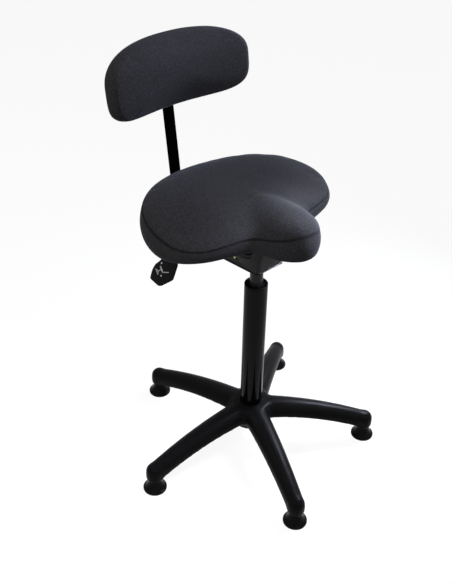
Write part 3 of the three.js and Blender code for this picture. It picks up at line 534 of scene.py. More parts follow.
# %% Rolling up a grid
def rolled(around, along, place, fill=True):
    """A grid whose corners go to place(u, v), u round the skin and v along it, closed into a tube."""
    bm = bmesh.new()
    bmesh.ops.create_grid(bm, x_segments=around, y_segments=along, size=0.5)
    for corner in bm.verts:
        corner.co = place(corner.co.x + 0.5, corner.co.y + 0.5)
    bmesh.ops.remove_doubles(bm, verts=bm.verts, dist=WELD)
    if fill:
        bmesh.ops.holes_fill(bm, edges=[e for e in bm.edges if e.is_boundary])
    bmesh.ops.recalc_face_normals(bm, faces=bm.faces)
    return bm


def added(bm, other):
    """Puts a second bmesh into the first one."""
    scratch = mesh_from("scratch", other)
    bm.from_mesh(scratch)
    bpy.data.meshes.remove(scratch)


# %% [markdown]
# ## The five-legged base
#
# The base is one nylon moulding. Its legs run into the hub and into the bosses over the glides with soft
# valleys, and are hollow underneath, with ribs. Solid skins for the hub, legs and bosses are simple to draw.
# A voxel remesh melts them into one, rounds of smoothing leave the fillets of a moulded part, and only then
# are the pockets and the bore cut out, so that their edges stay crisp.

# %% The leg's shape
LEG_ROOT_HALF, LEG_TAPER = 30 * MM, 12.5 * MM
LEG_TOP, LEG_TOP_FALL = 118 * MM, 48 * MM
LEG_UNDER, LEG_UNDER_RISE, LEG_UNDER_FALL = 77 * MM, 22 * MM, 69 * MM
LEG_WALL, LEG_START, LEG_FLANK = 4.5 * MM, 10 * MM, 0.2
POCKET_START, POCKET_END, POCKET_COUNT, RIB = 62 * MM, 240 * MM, 3, 5 * MM
HUB_BORE = SLEEVE_RADIUS + FIT
HUB_RADIUS, HUB_SKIRT, HUB_LOW, HUB_TOP, HUB_SHOULDER = 49 * MM, 46 * MM, 60 * MM, 117 * MM, 10 * MM
BOSS_RADIUS, BOSS_LOW, BOSS_TOP, BOSS_DOME = 18.5 * MM, 29 * MM, 72 * MM, 19 * MM


def leg_point(share_round, reach, grow=0.0, drop=0.0):
    """A point of the leg's skin, share_round running from one lower edge over the round top to the other.

    Each flat flank takes LEG_FLANK of it.
    """
    share = reach / LEG_REACH
    half = LEG_ROOT_HALF - LEG_TAPER * share + grow
    centre = LEG_TOP - LEG_TOP_FALL * share**2 + grow - half
    low = LEG_UNDER + LEG_UNDER_RISE * share - LEG_UNDER_FALL * share**2 - drop
    angle = math.pi * (share_round - LEG_FLANK) / (1 - 2 * LEG_FLANK)
    if share_round < LEG_FLANK:
        return Vector((reach, half, low + (centre - low) * share_round / LEG_FLANK))
    if share_round > 1 - LEG_FLANK:
        return Vector((reach, -half, low + (centre - low) * (1 - share_round) / LEG_FLANK))
    return Vector((reach, half * math.cos(angle), centre + half * math.sin(angle)))


def leg_skin(start, end, grow, drop, around=60):
    """The leg's section from start to end: the grid's last strip is the flat underside."""

    def place(u, v):
        share_round = u * around / (around - 1)
        return leg_point(share_round if share_round <= 1 else 0, start + (end - start) * v, grow, drop)

    return rolled(around, 24, place)


# %% One step of a modifier
def evaluated(bm, kind, **settings):
    """The bmesh as one modifier leaves it."""
    holder = shown("holder", mesh_from("holder", bm))
    modifier = holder.modifiers.new("step", kind)
    for key, value in settings.items():
        setattr(modifier, key, value)
    made = bpy.data.meshes.new_from_object(holder.evaluated_get(bpy.context.evaluated_depsgraph_get()))
    bpy.data.objects.remove(holder)
    result = bmesh.new()
    result.from_mesh(made)
    bpy.data.meshes.remove(made)
    return result


# %% Hub, legs and bosses melted together
VOXEL, SMOOTH_ROUNDS, SMOOTH_LOSS, BOSS_STEPS = 2.2 * MM, 26, 0.8 * MM, 8
heading_of = [Matrix.Rotation(math.atan2(foot.y - AXIS.y, foot.x - AXIS.x), 4, "Z") for foot in FEET]
hub_profile = [
    (0, HUB_LOW),
    (HUB_SKIRT, HUB_LOW),
    (HUB_RADIUS, HUB_TOP - HUB_SHOULDER),
    (HUB_RADIUS - HUB_SHOULDER * 0.3, HUB_TOP - HUB_SHOULDER * 0.3),
    (HUB_RADIUS - HUB_SHOULDER, HUB_TOP),
    (0, HUB_TOP),
]
star = turned(hub_profile)
for heading in heading_of:
    boss_profile = [(0, BOSS_LOW), (BOSS_RADIUS + SMOOTH_LOSS, BOSS_LOW)]
    for step in range(BOSS_STEPS + 1):
        angle = math.pi / 2 * step / BOSS_STEPS
        height = BOSS_TOP - BOSS_DOME + (BOSS_DOME + SMOOTH_LOSS) * math.sin(angle)
        boss_profile.append(((BOSS_RADIUS + SMOOTH_LOSS) * math.cos(angle), height))
    boss = placed(turned(boss_profile, 48), Vector((LEG_REACH, 0, 0)))
    for part in (leg_skin(LEG_START, LEG_REACH, SMOOTH_LOSS, SMOOTH_LOSS), boss):
        added(star, placed(part, Vector(), heading))
star = evaluated(star, "REMESH", mode="VOXEL", voxel_size=VOXEL)
every_way = {"use_axis_x": True, "use_axis_y": True, "use_axis_z": True}
for _ in range(SMOOTH_ROUNDS):
    bmesh.ops.smooth_vert(star, verts=star.verts, factor=0.5, **every_way)
print("base melted:", len(star.faces), "faces")

# %% Pockets under the legs and the bore for the sleeve
cutters = bmesh.new()
pitch = (POCKET_END - POCKET_START + RIB) / POCKET_COUNT
for heading in heading_of:
    for pocket in range(POCKET_COUNT):
        start = POCKET_START + pitch * pocket
        pocket_skin = leg_skin(start, start + pitch - RIB, -LEG_WALL, LEG_TOP)
        added(cutters, placed(pocket_skin, Vector(), heading))
added(cutters, turned([(0, 0), (HUB_BORE, 0), (HUB_BORE, 2 * HUB_TOP), (0, 2 * HUB_TOP)]))
cutter = shown("cutters", mesh_from("cutters", cutters))
star = evaluated(star, "BOOLEAN", object=cutter, operation="DIFFERENCE", solver="MANIFOLD")
bpy.data.objects.remove(cutter)
dressed("base", placed(star, AXIS), "base_star", sharp=40)

# %% [markdown]
# ## Small parts from their solids
#
# The mechanism's housing, the knobs, the receiver and the screws have the right shape already, with all their
# holes, but their edges are razor sharp and their faces loose triangles. A copy is merged, its flat faces are
# joined up again, and its edges get the small radius that bending, moulding or plating leaves.


# %% A softened copy of a solid
def merged(node, flat=1.0):
    bm = bmesh.new()
    bm.from_mesh(frame["nodes"][node].data)
    bmesh.ops.remove_doubles(bm, verts=bm.verts, dist=SOLID_WELD)
    bmesh.ops.dissolve_limit(bm, angle_limit=math.radians(flat), verts=bm.verts, edges=bm.edges)
    return bm


def softened(bm, node, width, angle=40, segments=2):
    soften(bm, width, angle, segments)
    bmesh.ops.triangulate(bm, faces=[f for f in bm.faces if len(f.verts) > 4])
    return dressed(node + "_fine", bm, node, sharp=30)


# The radius of each part's edges, in millimetres.
EDGE_ROUNDS = {
    "mechanism_housing": 0.7,
    "top_plate": 0.5,
    "lever_bush": 0.5,
    "cone_bush": 0.5,
    "back_receiver": 1.0,
    "bar_cap": 0.6,
    "depth_knob": 0.8,
    "back_knob": 0.8,
    "side_screw": 0.3,
    "bar_guide": 0.5,
}
SCREW_ROUND = 0.4 * MM
CORNER_RADIUS, CORNER_POWER, SAME_LEVEL = 12 * MM, 7, 1 * MM


def crisp_corners(bm):
    """Draws the housing's rounded front corners out to the tighter ones of folded sheet."""
    for corner in bm.verts:
        level = [v.co for v in bm.verts if abs(v.co.z - corner.co.z) < SAME_LEVEL]
        bend = min(co.y for co in level) + CORNER_RADIUS
        half = max(abs(co.x - AXIS.x) for co in level if co.y < bend) - CORNER_RADIUS
        across, along = abs(corner.co.x - AXIS.x) - half, bend - corner.co.y
        if across > 0 and along > 0:
            squared = (across**CORNER_POWER + along**CORNER_POWER) ** (1 / CORNER_POWER)
            grow = math.hypot(across, along) / squared
            corner.co.y = bend - along * grow
            corner.co.x = AXIS.x + math.copysign(half + across * grow, corner.co.x - AXIS.x)
    return bm


for node, width in EDGE_ROUNDS.items():
    copy = merged(node)
    if node == "mechanism_housing":
        crisp_corners(copy)
    softened(copy, node, width * MM)
for node in frame["nodes"]:
    if "screw_" in node:
        softened(merged(node), node, SCREW_ROUND)

# %% [markdown]
# ## Plug in the housing's wall
#
# A round black plug closes a port in the housing's right wall: a glossy ring with a rounded rim, round a pale
# disc. Both are turned about an axis that stands square on the wall, which spreads towards the rear.

# %% Plug ring and disc
WALL_FRONT_HALF, WALL_REAR_HALF, WALL_RUN = 35 * MM, 55 * MM, 186 * MM
PLUG_RADIUS, PLUG_RIM, PLUG_BAND, PLUG_DEPTH, PLUG_PROUD = 17 * MM, 2.4 * MM, 6.5 * MM, 6 * MM, 0.5 * MM
wall_spread = math.atan((WALL_REAR_HALF - WALL_FRONT_HALF) / WALL_RUN)
out_of_wall = Matrix.Rotation(wall_spread, 4, "Z") @ Matrix.Rotation(-math.pi / 2, 4, "Y")
ring_profile = [
    (PLUG_RADIUS - PLUG_BAND, -PLUG_DEPTH),
    (PLUG_RADIUS, -PLUG_DEPTH),
    (PLUG_RADIUS, FIT),
    (PLUG_RADIUS + PLUG_RIM, FIT),
    (PLUG_RADIUS + PLUG_RIM, PLUG_RIM),
    (PLUG_RADIUS - PLUG_BAND, PLUG_RIM),
]
plug_ring = turned(ring_profile, 64, round_by=0.9 * MM, segments=4)
wall_point = middle("blanking_plug_disc") + out_of_wall.to_3x3() @ Vector((0, 0, PLUG_PROUD))
dressed("plug_ring", placed(plug_ring, wall_point, out_of_wall), "blanking_plug")
disc_radius = PLUG_RADIUS - PLUG_BAND - FIT
disc = turned([(0, 0), (disc_radius, 0), (disc_radius, PLUG_RIM), (0, 1.2 * PLUG_RIM)], 64, round_by=0.3 * MM)
dressed("plug_disc", placed(disc, wall_point, out_of_wall), "blanking_plug_disc")

# %% [markdown]
# ## The backrest's bar
#
# The bar is flat steel, bent once: level under the seat, then up behind it with a slight lean. Its section is
# a rectangle with rounded edges, carried along a line of two straights and one arc.

# %% Bar
bar_low, bar_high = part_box("backrest_bar")
lean_axis = next(j for j in frame["joints"] if j["name"] == "backrest_height")["axis"]
LEAN = math.atan2(lean_axis[1], lean_axis[2])
BAR_HALF_WIDTH, BAR_HALF_THICK, BAR_SQUARENESS = 12.5 * MM, 4 * MM, 9.0
BEND_RADIUS = 40 * MM
bar_level = bar_low.z + BAR_HALF_THICK
bar_top = Vector((0, bar_high.y, bar_high.z)) - BAR_HALF_THICK * Vector((0, math.cos(LEAN), math.sin(LEAN)))


def bar_line(steps=24):
    """Points and directions along the bar's middle line."""
    upright = Vector((0, math.sin(LEAN), math.cos(LEAN)))
    foot_y = bar_top.y - (bar_top.z - bar_level) * math.tan(LEAN)
    turn = math.pi / 2 - LEAN
    tangent = BEND_RADIUS * math.tan(turn / 2)
    centre = Vector((0, foot_y - tangent, bar_level + BEND_RADIUS))
    line = [(Vector((0, bar_low.y, bar_level)), Vector((0, 1, 0)))]
    for step in range(steps + 1):
        angle = turn * step / steps
        along = Vector((0, math.cos(angle), math.sin(angle)))
        line.append((centre + BEND_RADIUS * Vector((0, math.sin(angle), -math.cos(angle))), along))
    line.append((bar_top, upright))
    return line


def rounded(value, power):
    """Turns a cosine or sine into that of a rectangle with soft corners, a superellipse."""
    return math.copysign(abs(value) ** (2 / power), value)


middle_line = bar_line()


def bar_point(u, v):
    point, along = middle_line[round(v * (len(middle_line) - 1))]
    side = Vector((0, -along.z, along.y))
    x = BAR_HALF_WIDTH * rounded(math.cos(math.tau * u), BAR_SQUARENESS)
    y = BAR_HALF_THICK * rounded(math.sin(math.tau * u), BAR_SQUARENESS)
    return Vector((AXIS.x + x, 0, 0)) + point + side * y


bar = rolled(64, len(middle_line) - 1, bar_point)
dressed("bar", bar, "backrest_bar", sharp=50, paint="bar_paint")

# %% [markdown]
# ## Height lever
#
# A bent round rod runs from the release pin through the housing's wall to a flat grip. The rod's solid has
# eight sides: merged, and rounded by a subdivision surface, it becomes a smooth bent wire again.

# %% Lever rod
rod = bmesh.new()
rod.from_mesh(frame["nodes"]["lever_rod"].data)
bmesh.ops.remove_doubles(rod, verts=rod.verts, dist=SOLID_WELD)
smoothed(dressed("lever_rod_fine", rod, "lever_rod", sharp=60))

# %% [markdown]
# ## The lever's grip and its mark
#
# The grip is a flat plate with a groove round its edge, and carries a small white pictogram that says what
# the lever does. This one is plain: a stool drawn with a few bars, and two arrow heads. Each is a thin plate
# just proud of the grip's face, which is the largest flat area of its solid that looks up.


# %% The grip's face
def largest_face(node, direction):
    """Middle and normal of the largest flat area of a solid that looks roughly in a direction."""
    areas = {}
    for face in frame["nodes"][node].data.polygons:
        if face.normal.dot(direction) > 0.3:
            key = tuple(round(x, 2) for x in face.normal)
            area, weighted = areas.get(key, (0.0, Vector()))
            areas[key] = (area + face.area, weighted + face.center * face.area)
    key, (area, weighted) = max(areas.items(), key=lambda item: item[1][0])
    return weighted / area, Vector(key).normalized()


face_middle, face_normal = largest_face("lever_grip", Vector((-1, -0.3, 1)))
face_up = (Vector((0, 0, 1)) - face_normal * face_normal.z).normalized()
face_across = face_up.cross(face_normal)
print("grip face:", tuple(round(x / MM, 1) for x in face_middle))

# %% The grip with a groove round its edge
GRIP_ROUND, GROOVE_RIM, GROOVE_DEPTH = 0.4 * MM, 1.2 * MM, 1.8 * MM
SLIVER_AREA, EDGE_ON = 4 * MM * MM, 0.35
grip = merged("lever_grip")
edge_on = [f for f in grip.faces if abs(f.normal.dot(face_normal)) < EDGE_ON]
bmesh.ops.inset_region(
    grip,
    faces=[f for f in edge_on if f.calc_area() > SLIVER_AREA],
    thickness=GROOVE_RIM,
    depth=-GROOVE_DEPTH,
    use_even_offset=True,
    use_boundary=True,
)
softened(grip, "lever_grip", GRIP_ROUND)

# %% Pictogram
MARK_PROUD, MARK_THICK = 0.12 * MM, 0.1 * MM
MARK_SIZE, MARK_TURN = 34 * MM, -50
MARK_SHIFT = Vector((-5 * MM, -1 * MM))
# As shares of the mark's size, with turns in degrees. Bars: across, up, length, width, turn. Arrow heads:
# across, up, radius, turn.
STOOL_BAR_SHARES = [
    (0.0, 0.02, 0.4, 0.09, 0),
    (0.29, 0.25, 0.32, 0.05, 66),
    (0.22, 0.08, 0.12, 0.035, 40),
    (0.0, -0.17, 0.28, 0.04, 90),
    (0.0, -0.33, 0.4, 0.04, 0),
    (0.1, -0.26, 0.24, 0.025, -35),
    (-0.1, -0.26, 0.24, 0.025, 35),
]
ARROW_SHARES = [(-0.34, 0.17, 0.085, 90), (0.33, -0.16, 0.085, -90)]


def mark(sheet, bm, across, up, turn):
    added(sheet, placed(bm, Vector((across, up, 0)), Matrix.Rotation(math.radians(turn), 4, "Z")))


marks = bmesh.new()
for across, up, length, width, turn in STOOL_BAR_SHARES:
    mark_bar = bmesh.new()
    bmesh.ops.create_grid(mark_bar, x_segments=1, y_segments=1, size=0.5)
    bmesh.ops.scale(mark_bar, vec=(length, width, 1), verts=mark_bar.verts)
    mark(marks, mark_bar, across, up, turn)
for across, up, radius, turn in ARROW_SHARES:
    arrow_head = bmesh.new()
    bmesh.ops.create_circle(arrow_head, cap_ends=True, segments=3, radius=radius)
    mark(marks, arrow_head, across, up, turn)
bmesh.ops.scale(marks, vec=(MARK_SIZE,) * 3, verts=marks.verts)
bmesh.ops.solidify(marks, geom=marks.faces[:], thickness=MARK_THICK)
bmesh.ops.recalc_face_normals(marks, faces=marks.faces)
face_frame = Matrix((face_across, face_up, face_normal)).transposed().to_4x4()
upright_mark = Matrix.Rotation(math.radians(MARK_TURN), 4, "Z")
shifted = face_middle + face_across * MARK_SHIFT.x + face_up * MARK_SHIFT.y + face_normal * MARK_PROUD
placed(marks, shifted, face_frame @ upright_mark)
finished("grip_mark", marks, "pale_plastic", "lever", paint="mark_paint")

# %% [markdown]
# ## Sewn skins without a pole
#
# A cushion's cover has no pole in its middle, so neither should its mesh. A small square grid, drawn out to a
# disc, makes the middle. From its rim the panel grows outwards ring by ring to the seam, and then down the
# side and under. Each ring remembers how far round it is, so any outline can be given by a formula.


# %% Growing a cover
def disc_place(x, y):
    """Turn and share of the radius, both 0 to 1, for a point of the square -1 to 1 drawn out to a disc."""
    across, up = x * math.sqrt(1 - y * y / 2), y * math.sqrt(1 - x * x / 2)
    return math.atan2(up, across) / math.tau % 1, math.hypot(across, up)


def covered(half_cells, shares, top, sides, side):
    """A closed skin: top(u, share) places a grid and rings at shares, side(u, k) a number of rings more."""
    bm = bmesh.new()
    bmesh.ops.create_grid(bm, x_segments=2 * half_cells, y_segments=2 * half_cells, size=1)
    turn = bm.verts.layers.float.new("turn")
    for corner in bm.verts:
        corner[turn], share = disc_place(corner.co.x, corner.co.y)
        corner.co = top(corner[turn], share * shares[0])
    rim = [e for e in bm.edges if e.is_boundary]
    seam = []
    for ring in range(1, len(shares) + sides):
        made = bmesh.ops.extrude_edge_only(bm, edges=rim)["geom"]
        rim = [g for g in made if isinstance(g, bmesh.types.BMEdge)]
        corners = [g for g in made if isinstance(g, bmesh.types.BMVert)]
        for corner in corners:
            if ring < len(shares):
                corner.co = top(corner[turn], shares[ring])
            else:
                corner.co = side(corner[turn], ring - len(shares))
        if ring == len(shares) - 1:
            bm.verts.index_update()
            seam = [corner.index for corner in corners]
    bmesh.ops.holes_fill(bm, edges=rim)
    bmesh.ops.recalc_face_normals(bm, faces=bm.faces)
    return bm, seam


class Outline:
    """A closed smooth curve near points, read by the share of its length."""

    def __init__(self, points, steps=16, smooth_rounds=24):
        loop = []
        count = len(points)
        for i, here in enumerate(points):
            before, after, beyond = points[i - 1], points[(i + 1) % count], points[(i + 2) % count]
            reach = (after - here).length / 3
            leaving = here + (after - before).normalized() * reach
            coming = after - (beyond - here).normalized() * reach
            loop += interpolate_bezier(here, leaving, coming, after, steps + 1)[:-1]
        even = np.array([tuple(p) for p in loop])
        for _ in range(smooth_rounds):
            even = (np.roll(even, 1, axis=0) + 2 * even + np.roll(even, -1, axis=0)) / 4
        self.points = np.concatenate([even, even[:1]])
        lengths = np.linalg.norm(np.diff(self.points[:, :2], axis=0), axis=1)
        self.shares = np.concatenate([[0], np.cumsum(lengths)]) / lengths.sum()

    def at(self, u):
        return [float(np.interp(u % 1, self.shares, self.points[:, k])) for k in range(self.points.shape[1])]


# %% [markdown]
# ## Cloth under pressure
#
# A cover is sewn a little small and the foam pushes it out. Blender's cloth does that with a pressure inside
# a closed skin: seams and the stapled lower edge are pinned, gravity is off, and after twenty frames the
# cloth has swelled between them. How far a point may move is capped, so that the foam keeps its moulded form.
# The simulation is read once and taken off again, because the export bakes plain meshes.


# %% Blowing up a cover
CLOTH_FRAMES, CLOTH_QUALITY, CLOTH_STIFFNESS, CLOTH_BENDING = 20, 5, 20, 0.5


def puffed(piece, pinned, pressure, cap):
    """Swells a closed skin by cloth simulation, with some points pinned, no point further than about cap."""
    mesh = piece.data
    before = np.array([v.co for v in mesh.vertices])
    held = piece.vertex_groups.new(name="held")
    held.add([int(i) for i in pinned], 1.0, "REPLACE")
    modifier = piece.modifiers.new("cloth", "CLOTH")
    modifier.point_cache.frame_start = 1
    modifier.point_cache.frame_end = CLOTH_FRAMES
    settings = modifier.settings
    settings.quality = CLOTH_QUALITY
    settings.tension_stiffness = settings.compression_stiffness = CLOTH_STIFFNESS
    settings.shear_stiffness = CLOTH_STIFFNESS
    settings.bending_stiffness = CLOTH_BENDING
    settings.use_pressure = True
    settings.uniform_pressure_force = pressure
    settings.effector_weights.gravity = 0
    settings.vertex_group_mass = "held"
    scene = bpy.context.scene
    for step in range(1, CLOTH_FRAMES + 1):
        scene.frame_set(step)
    depsgraph = bpy.context.evaluated_depsgraph_get()
    swelled = piece.evaluated_get(depsgraph).to_mesh()
    after = np.array([v.co for v in swelled.vertices])
    piece.modifiers.remove(modifier)
    piece.vertex_groups.remove(held)
    scene.frame_set(1)
    move = after - before
    length = np.linalg.norm(move, axis=1)[:, None] + 1e-9
    kept = before + move / length * cap * np.tanh(length / cap)
    mesh.vertices.foreach_set("co", kept.ravel())
    mesh.update()
    print(piece.name, "moved by up to", round(float(length.max()) / MM, 1), "mm before the cap")


# How far from the seam, in its widths, the cloth dips, gets the full painted shade, and gets part of it; and how
# strong that part is.
SEAM_DIP_SHARE, SEAM_FULL_SHADE_SHARE, SEAM_SHADE_SHARE, SEAM_SHADE = 0.5, 0.9, 1.5, 0.25


def sewn(piece, seam, width):
    """Sinks a seam as deep as it is wide: its edges are bevelled and the line between the new ones dips."""
    bm = bmesh.new()
    bm.from_mesh(piece.data)
    bm.verts.ensure_lookup_table()
    chosen = set(seam)
    edges = [e for e in bm.edges if e.verts[0].index in chosen and e.verts[1].index in chosen]
    tree = KDTree(len(seam))
    for i in seam:
        tree.insert(bm.verts[i].co, i)
    tree.balance()
    made = bevelled(bm, edges, width)
    bm.normal_update()
    for corner in made:
        if tree.find(corner.co)[2] < width * SEAM_DIP_SHARE:
            corner.co -= corner.normal * width
    # A painted shade for the seam's dip: full in the groove, part of it just beside.
    shade = bm.verts.layers.float.new("seam")
    for corner in bm.verts:
        away = tree.find(corner.co)[2] / width
        corner[shade] = 1.0 if away < SEAM_FULL_SHADE_SHARE else SEAM_SHADE * (away < SEAM_SHADE_SHARE)
    bm.to_mesh(piece.data)
    bm.free()
    piece.data.polygons.foreach_set("use_smooth", [True] * len(piece.data.polygons))


# %% [markdown]
# ## The saddle seat
#
# The seat is a wide saddle with a nose: moulded foam on a plywood board, with a top panel sewn to a band.
# Its outline is a smooth curve near a few points of one half, mirrored. Each point also has the height of the
# seam, which climbs at the nose and falls where the thighs pass, and the height of the lower edge.

# %% The seat's outline and heights
SEAT_HALF_WIDTH = 215.5 * MM
SEAT_NOSE, SEAT_REAR, SEAT_MIDDLE = 143.5 * MM, 241.5 * MM, 50 * MM
SEAT_BAND, SEAT_FOOT_RISE, SEAT_FOOT = 58 * MM, 10 * MM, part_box("seat_cushion")[0].z
SEAT_CENTRE, SEAT_CROWN = 73 * MM, 5.5 * MM
RIDGE, RIDGE_SPREAD, RIDGE_POWER, RIDGE_FROM, RIDGE_TO = 10 * MM, 60 * MM, 2.8, -20 * MM, 100 * MM
FALL_POWER, CROWN_POWER, RIDGE_END_POWER = 2.7, 36, 22
SEAT_BULGE, EDGE_RISE = 6 * MM, 1.8 * MM
BOARD_SHARE, BOARD_EDGE, BOARD_THICKNESS = 0.9, 0.906, 12 * MM
# Half of the outline from the nose to the rear: along the depth, across the half width, the seam's height in
# the band, and the rise of the lower edge.
SEAT_OUTLINE_SHARES = [
    (1.0, 0.0, 1.08, 0.3),
    (0.985, 0.11, 1.05, 0.35),
    (0.91, 0.235, 0.86, 0.45),
    (0.785, 0.33, 0.7, 0.75),
    (0.75, 0.53, 0.68, 1.0),
    (0.705, 0.765, 0.59, 0.9),
    (0.61, 0.945, 0.65, 0.5),
    (0.49, 0.995, 0.84, 0.1),
    (0.335, 0.925, 0.98, 0.0),
    (0.22, 0.785, 1.02, 0.0),
    (0.125, 0.585, 0.98, 0.0),
    (0.045, 0.33, 0.86, 0.0),
    (0.0, 0.0, 0.77, 0.0),
]


def seat_line(scale, column):
    """The whole outline, at heights from one column of the shares times a scale."""
    half = []
    for row in SEAT_OUTLINE_SHARES:
        y = SEAT_REAR - row[0] * (SEAT_NOSE + SEAT_REAR)
        half.append(Vector((row[1] * SEAT_HALF_WIDTH, y, SEAT_FOOT + scale * row[column])))
    other = [Vector((-p.x, p.y, p.z)) for p in reversed(half[1:-1])]
    return Outline(half + other)


seam_line, foot_line = seat_line(SEAT_BAND, 2), seat_line(SEAT_FOOT_RISE, 3)


def smoothstep(value, low, high):
    t = min(max((value - low) / (high - low), 0), 1)
    return t * t * (3 - 2 * t)


def seat_spot(u, share):
    """Place in plan at a share of the outline, with the heights of the seam and of the lower edge there."""
    x, y, rim = seam_line.at(u)
    return x * share, SEAT_MIDDLE + (y - SEAT_MIDDLE) * share, rim, foot_line.at(u)[2]


def seat_top(u, share):
    """The top panel: it falls from the middle to the seam, rounds over there, and has a ridge to the nose."""
    x, y, rim, _ = seat_spot(u, share)
    fall = share**FALL_POWER
    flat = (SEAT_FOOT + SEAT_CENTRE) * (1 - fall) + rim * fall
    crown = SEAT_CROWN * (1 - share**CROWN_POWER)
    along = smoothstep(-y, RIDGE_FROM, RIDGE_TO)
    across = math.exp(-(abs(x / RIDGE_SPREAD) ** RIDGE_POWER))
    ridge = RIDGE * along * across * (1 - share**RIDGE_END_POWER)
    return AXIS + Vector((x, y, flat + crown + ridge))


# How far down the band each of its rings is, from 0 at the seam to 1 at the lower edge.
BAND_SHARES = [0.08, 0.2, 0.35, 0.5, 0.65, 0.8, 0.9]
# The rings of the underside: share of the outline, and height over the lower edge. The cloth turns in to the
# board's edge, goes up along it and closes over the board.
UNDER_RINGS = [
    (1 - 1.8 * MM / SEAT_HALF_WIDTH, 1 * MM),
    (1 - 7.2 * MM / SEAT_HALF_WIDTH, 0),
    (BOARD_EDGE, 0),
    (BOARD_EDGE, BOARD_THICKNESS),
    (BOARD_SHARE * 0.7, BOARD_THICKNESS),
]


def seat_side(u, ring):
    _, _, rim, foot = seat_spot(u, 1)
    if ring < len(BAND_SHARES):
        down = BAND_SHARES[ring]
        share = 1 + SEAT_BULGE * math.sin(math.pi * down) / SEAT_HALF_WIDTH
        height = rim + (foot + EDGE_RISE - rim) * down
    else:
        share, rise = UNDER_RINGS[ring - len(BAND_SHARES)]
        height = foot + rise
    x, y, _, _ = seat_spot(u, share)
    return AXIS + Vector((x, y, height))


# %% Sewing and blowing up the seat
# Half the cells across a cover's middle grid, and the share of the outline where its rings begin.
CELLS, INNER = 20, 0.5
SEAT_RINGS, SEAT_CROWDING, SEAT_PRESSURE, SEAT_SWELL, SEAM_WIDTH = 18, 1.7, 4, 2 * MM, 1.4 * MM


def ring_shares(rings, crowding):
    """Shares of the outline for the rings of a panel, which crowd towards the seam."""
    return [1 - (1 - INNER) * (1 - ring / rings) ** crowding for ring in range(rings + 1)]


def beyond(piece, seam, rings):
    """The points past a number of rings below the seam. A ring has as many as the grid's rim."""
    first = seam[-1] + 8 * CELLS * rings
    return [v.index for v in piece.data.vertices if v.index > first]


seat_shares = ring_shares(SEAT_RINGS, SEAT_CROWDING)
seat_bm, seat_seam = covered(CELLS, seat_shares, seat_top, len(BAND_SHARES + UNDER_RINGS), seat_side)
seat = dressed("seat_cover", seat_bm, "seat_cushion", sharp=180)
puffed(seat, seat_seam + beyond(seat, seat_seam, len(BAND_SHARES) - 1), SEAT_PRESSURE, SEAT_SWELL)
sewn(seat, seat_seam, SEAM_WIDTH)
smoothed(seat)

# %% [markdown]
# ## The backrest's pad
#
# The pad is a soft rectangle whose long edges arch, bowed round the sitter's back, with a shell behind. Its
# front has a short side wall, a round of the same width all the way, and a crown. The points are worked out
# flat, wrapped round the bow, and leant back with the bar.

# %% The pad's outline and bow
BACK_WIDTH, BACK_TALL, BACK_ARCH, BACK_DROOP = 368.5 * MM, 147.6 * MM, 4.7 * MM, 2.5 * MM
BACK_POWER_UP, BACK_POWER_DOWN = 2.65, 4.0
BACK_WALL, BACK_ROUND, BACK_CROWN, ROUND_POWER = 13 * MM, 9 * MM, 30 * MM, 2.2
BACK_REAR, BACK_BOW = 12 * MM, 400 * MM
SHELL_SHARE, SHELL_EDGE, SHELL_THICK = 0.92, 0.926, 9 * MM
RECEIVER_WALL, BACK_HEIGHT = 3.5 * MM, 821.5 * MM
back_plane = BAR_HALF_THICK + FIT + RECEIVER_WALL + FIT
back_lean = Matrix.Rotation(-LEAN, 3, "X")
back_origin = Vector((AXIS.x, bar_top.y - (bar_top.z - BACK_HEIGHT) * math.tan(LEAN), BACK_HEIGHT))


def back_outline(u):
    """A soft rectangle, rounder above than below, whose long edges arch."""
    angle = math.tau * u
    power = BACK_POWER_UP if math.sin(angle) > 0 else BACK_POWER_DOWN
    across, up = rounded(math.cos(angle), power), rounded(math.sin(angle), power)
    drop = BACK_ARCH * up if up > 0 else -BACK_DROOP * up
    return across * BACK_WIDTH / 2, up * BACK_TALL / 2 - drop * across**2


def back_point(u, share, depth):
    """A point at a share of the outline and a depth in front of the pad's middle surface, in the frame."""
    across, up = back_outline(u)
    angle = across * share / BACK_BOW
    radius = BACK_BOW - depth
    y = -back_plane - BACK_REAR - BACK_BOW + radius * math.cos(angle)
    return back_origin + back_lean @ Vector((radius * math.sin(angle), y, up * share))


def back_front(u, share):
    """The front: a side wall, a round of the same width all the way, and a low crown."""
    inwards = max(1 - share, 0) * math.hypot(*back_outline(u))
    left = max(1 - inwards / BACK_ROUND, 0)
    wall = BACK_WALL * (1 - left**ROUND_POWER) ** (1 / ROUND_POWER)
    return back_point(u, share, wall + BACK_CROWN * (1 - min(share, 1) ** 2))


# Side and rear of the pad, ring by ring: share of the outline, and depth, negative behind the middle.
BACK_SIDE = [
    (0.998, -3 * MM),
    (0.99, -6 * MM),
    (0.982, -9 * MM),
    (0.968, -BACK_REAR),
    (SHELL_EDGE, -BACK_REAR),
    (SHELL_EDGE, -BACK_REAR + SHELL_THICK),
    (SHELL_SHARE * 0.6, -BACK_REAR + SHELL_THICK),
]

# %% Sewing and blowing up the pad
BACK_RINGS, BACK_CROWDING, BACK_PRESSURE, BACK_SWELL, BACK_FREE_RINGS = 20, 1.9, 3, 1.5 * MM, 3
SHELL_ROUND, SHELL_SHARP = 1.5 * MM, 50


def back_side(u, ring):
    return back_point(u, *BACK_SIDE[ring])


back_shares = ring_shares(BACK_RINGS, BACK_CROWDING)
back_bm, back_rim = covered(CELLS, back_shares, back_front, len(BACK_SIDE), back_side)
pad = dressed("back_cover", back_bm, "back_cushion", sharp=180)
puffed(pad, beyond(pad, back_rim, BACK_FREE_RINGS), BACK_PRESSURE, BACK_SWELL)
smoothed(pad)
softened(merged("back_shell"), "back_shell", SHELL_ROUND, SHELL_SHARP)

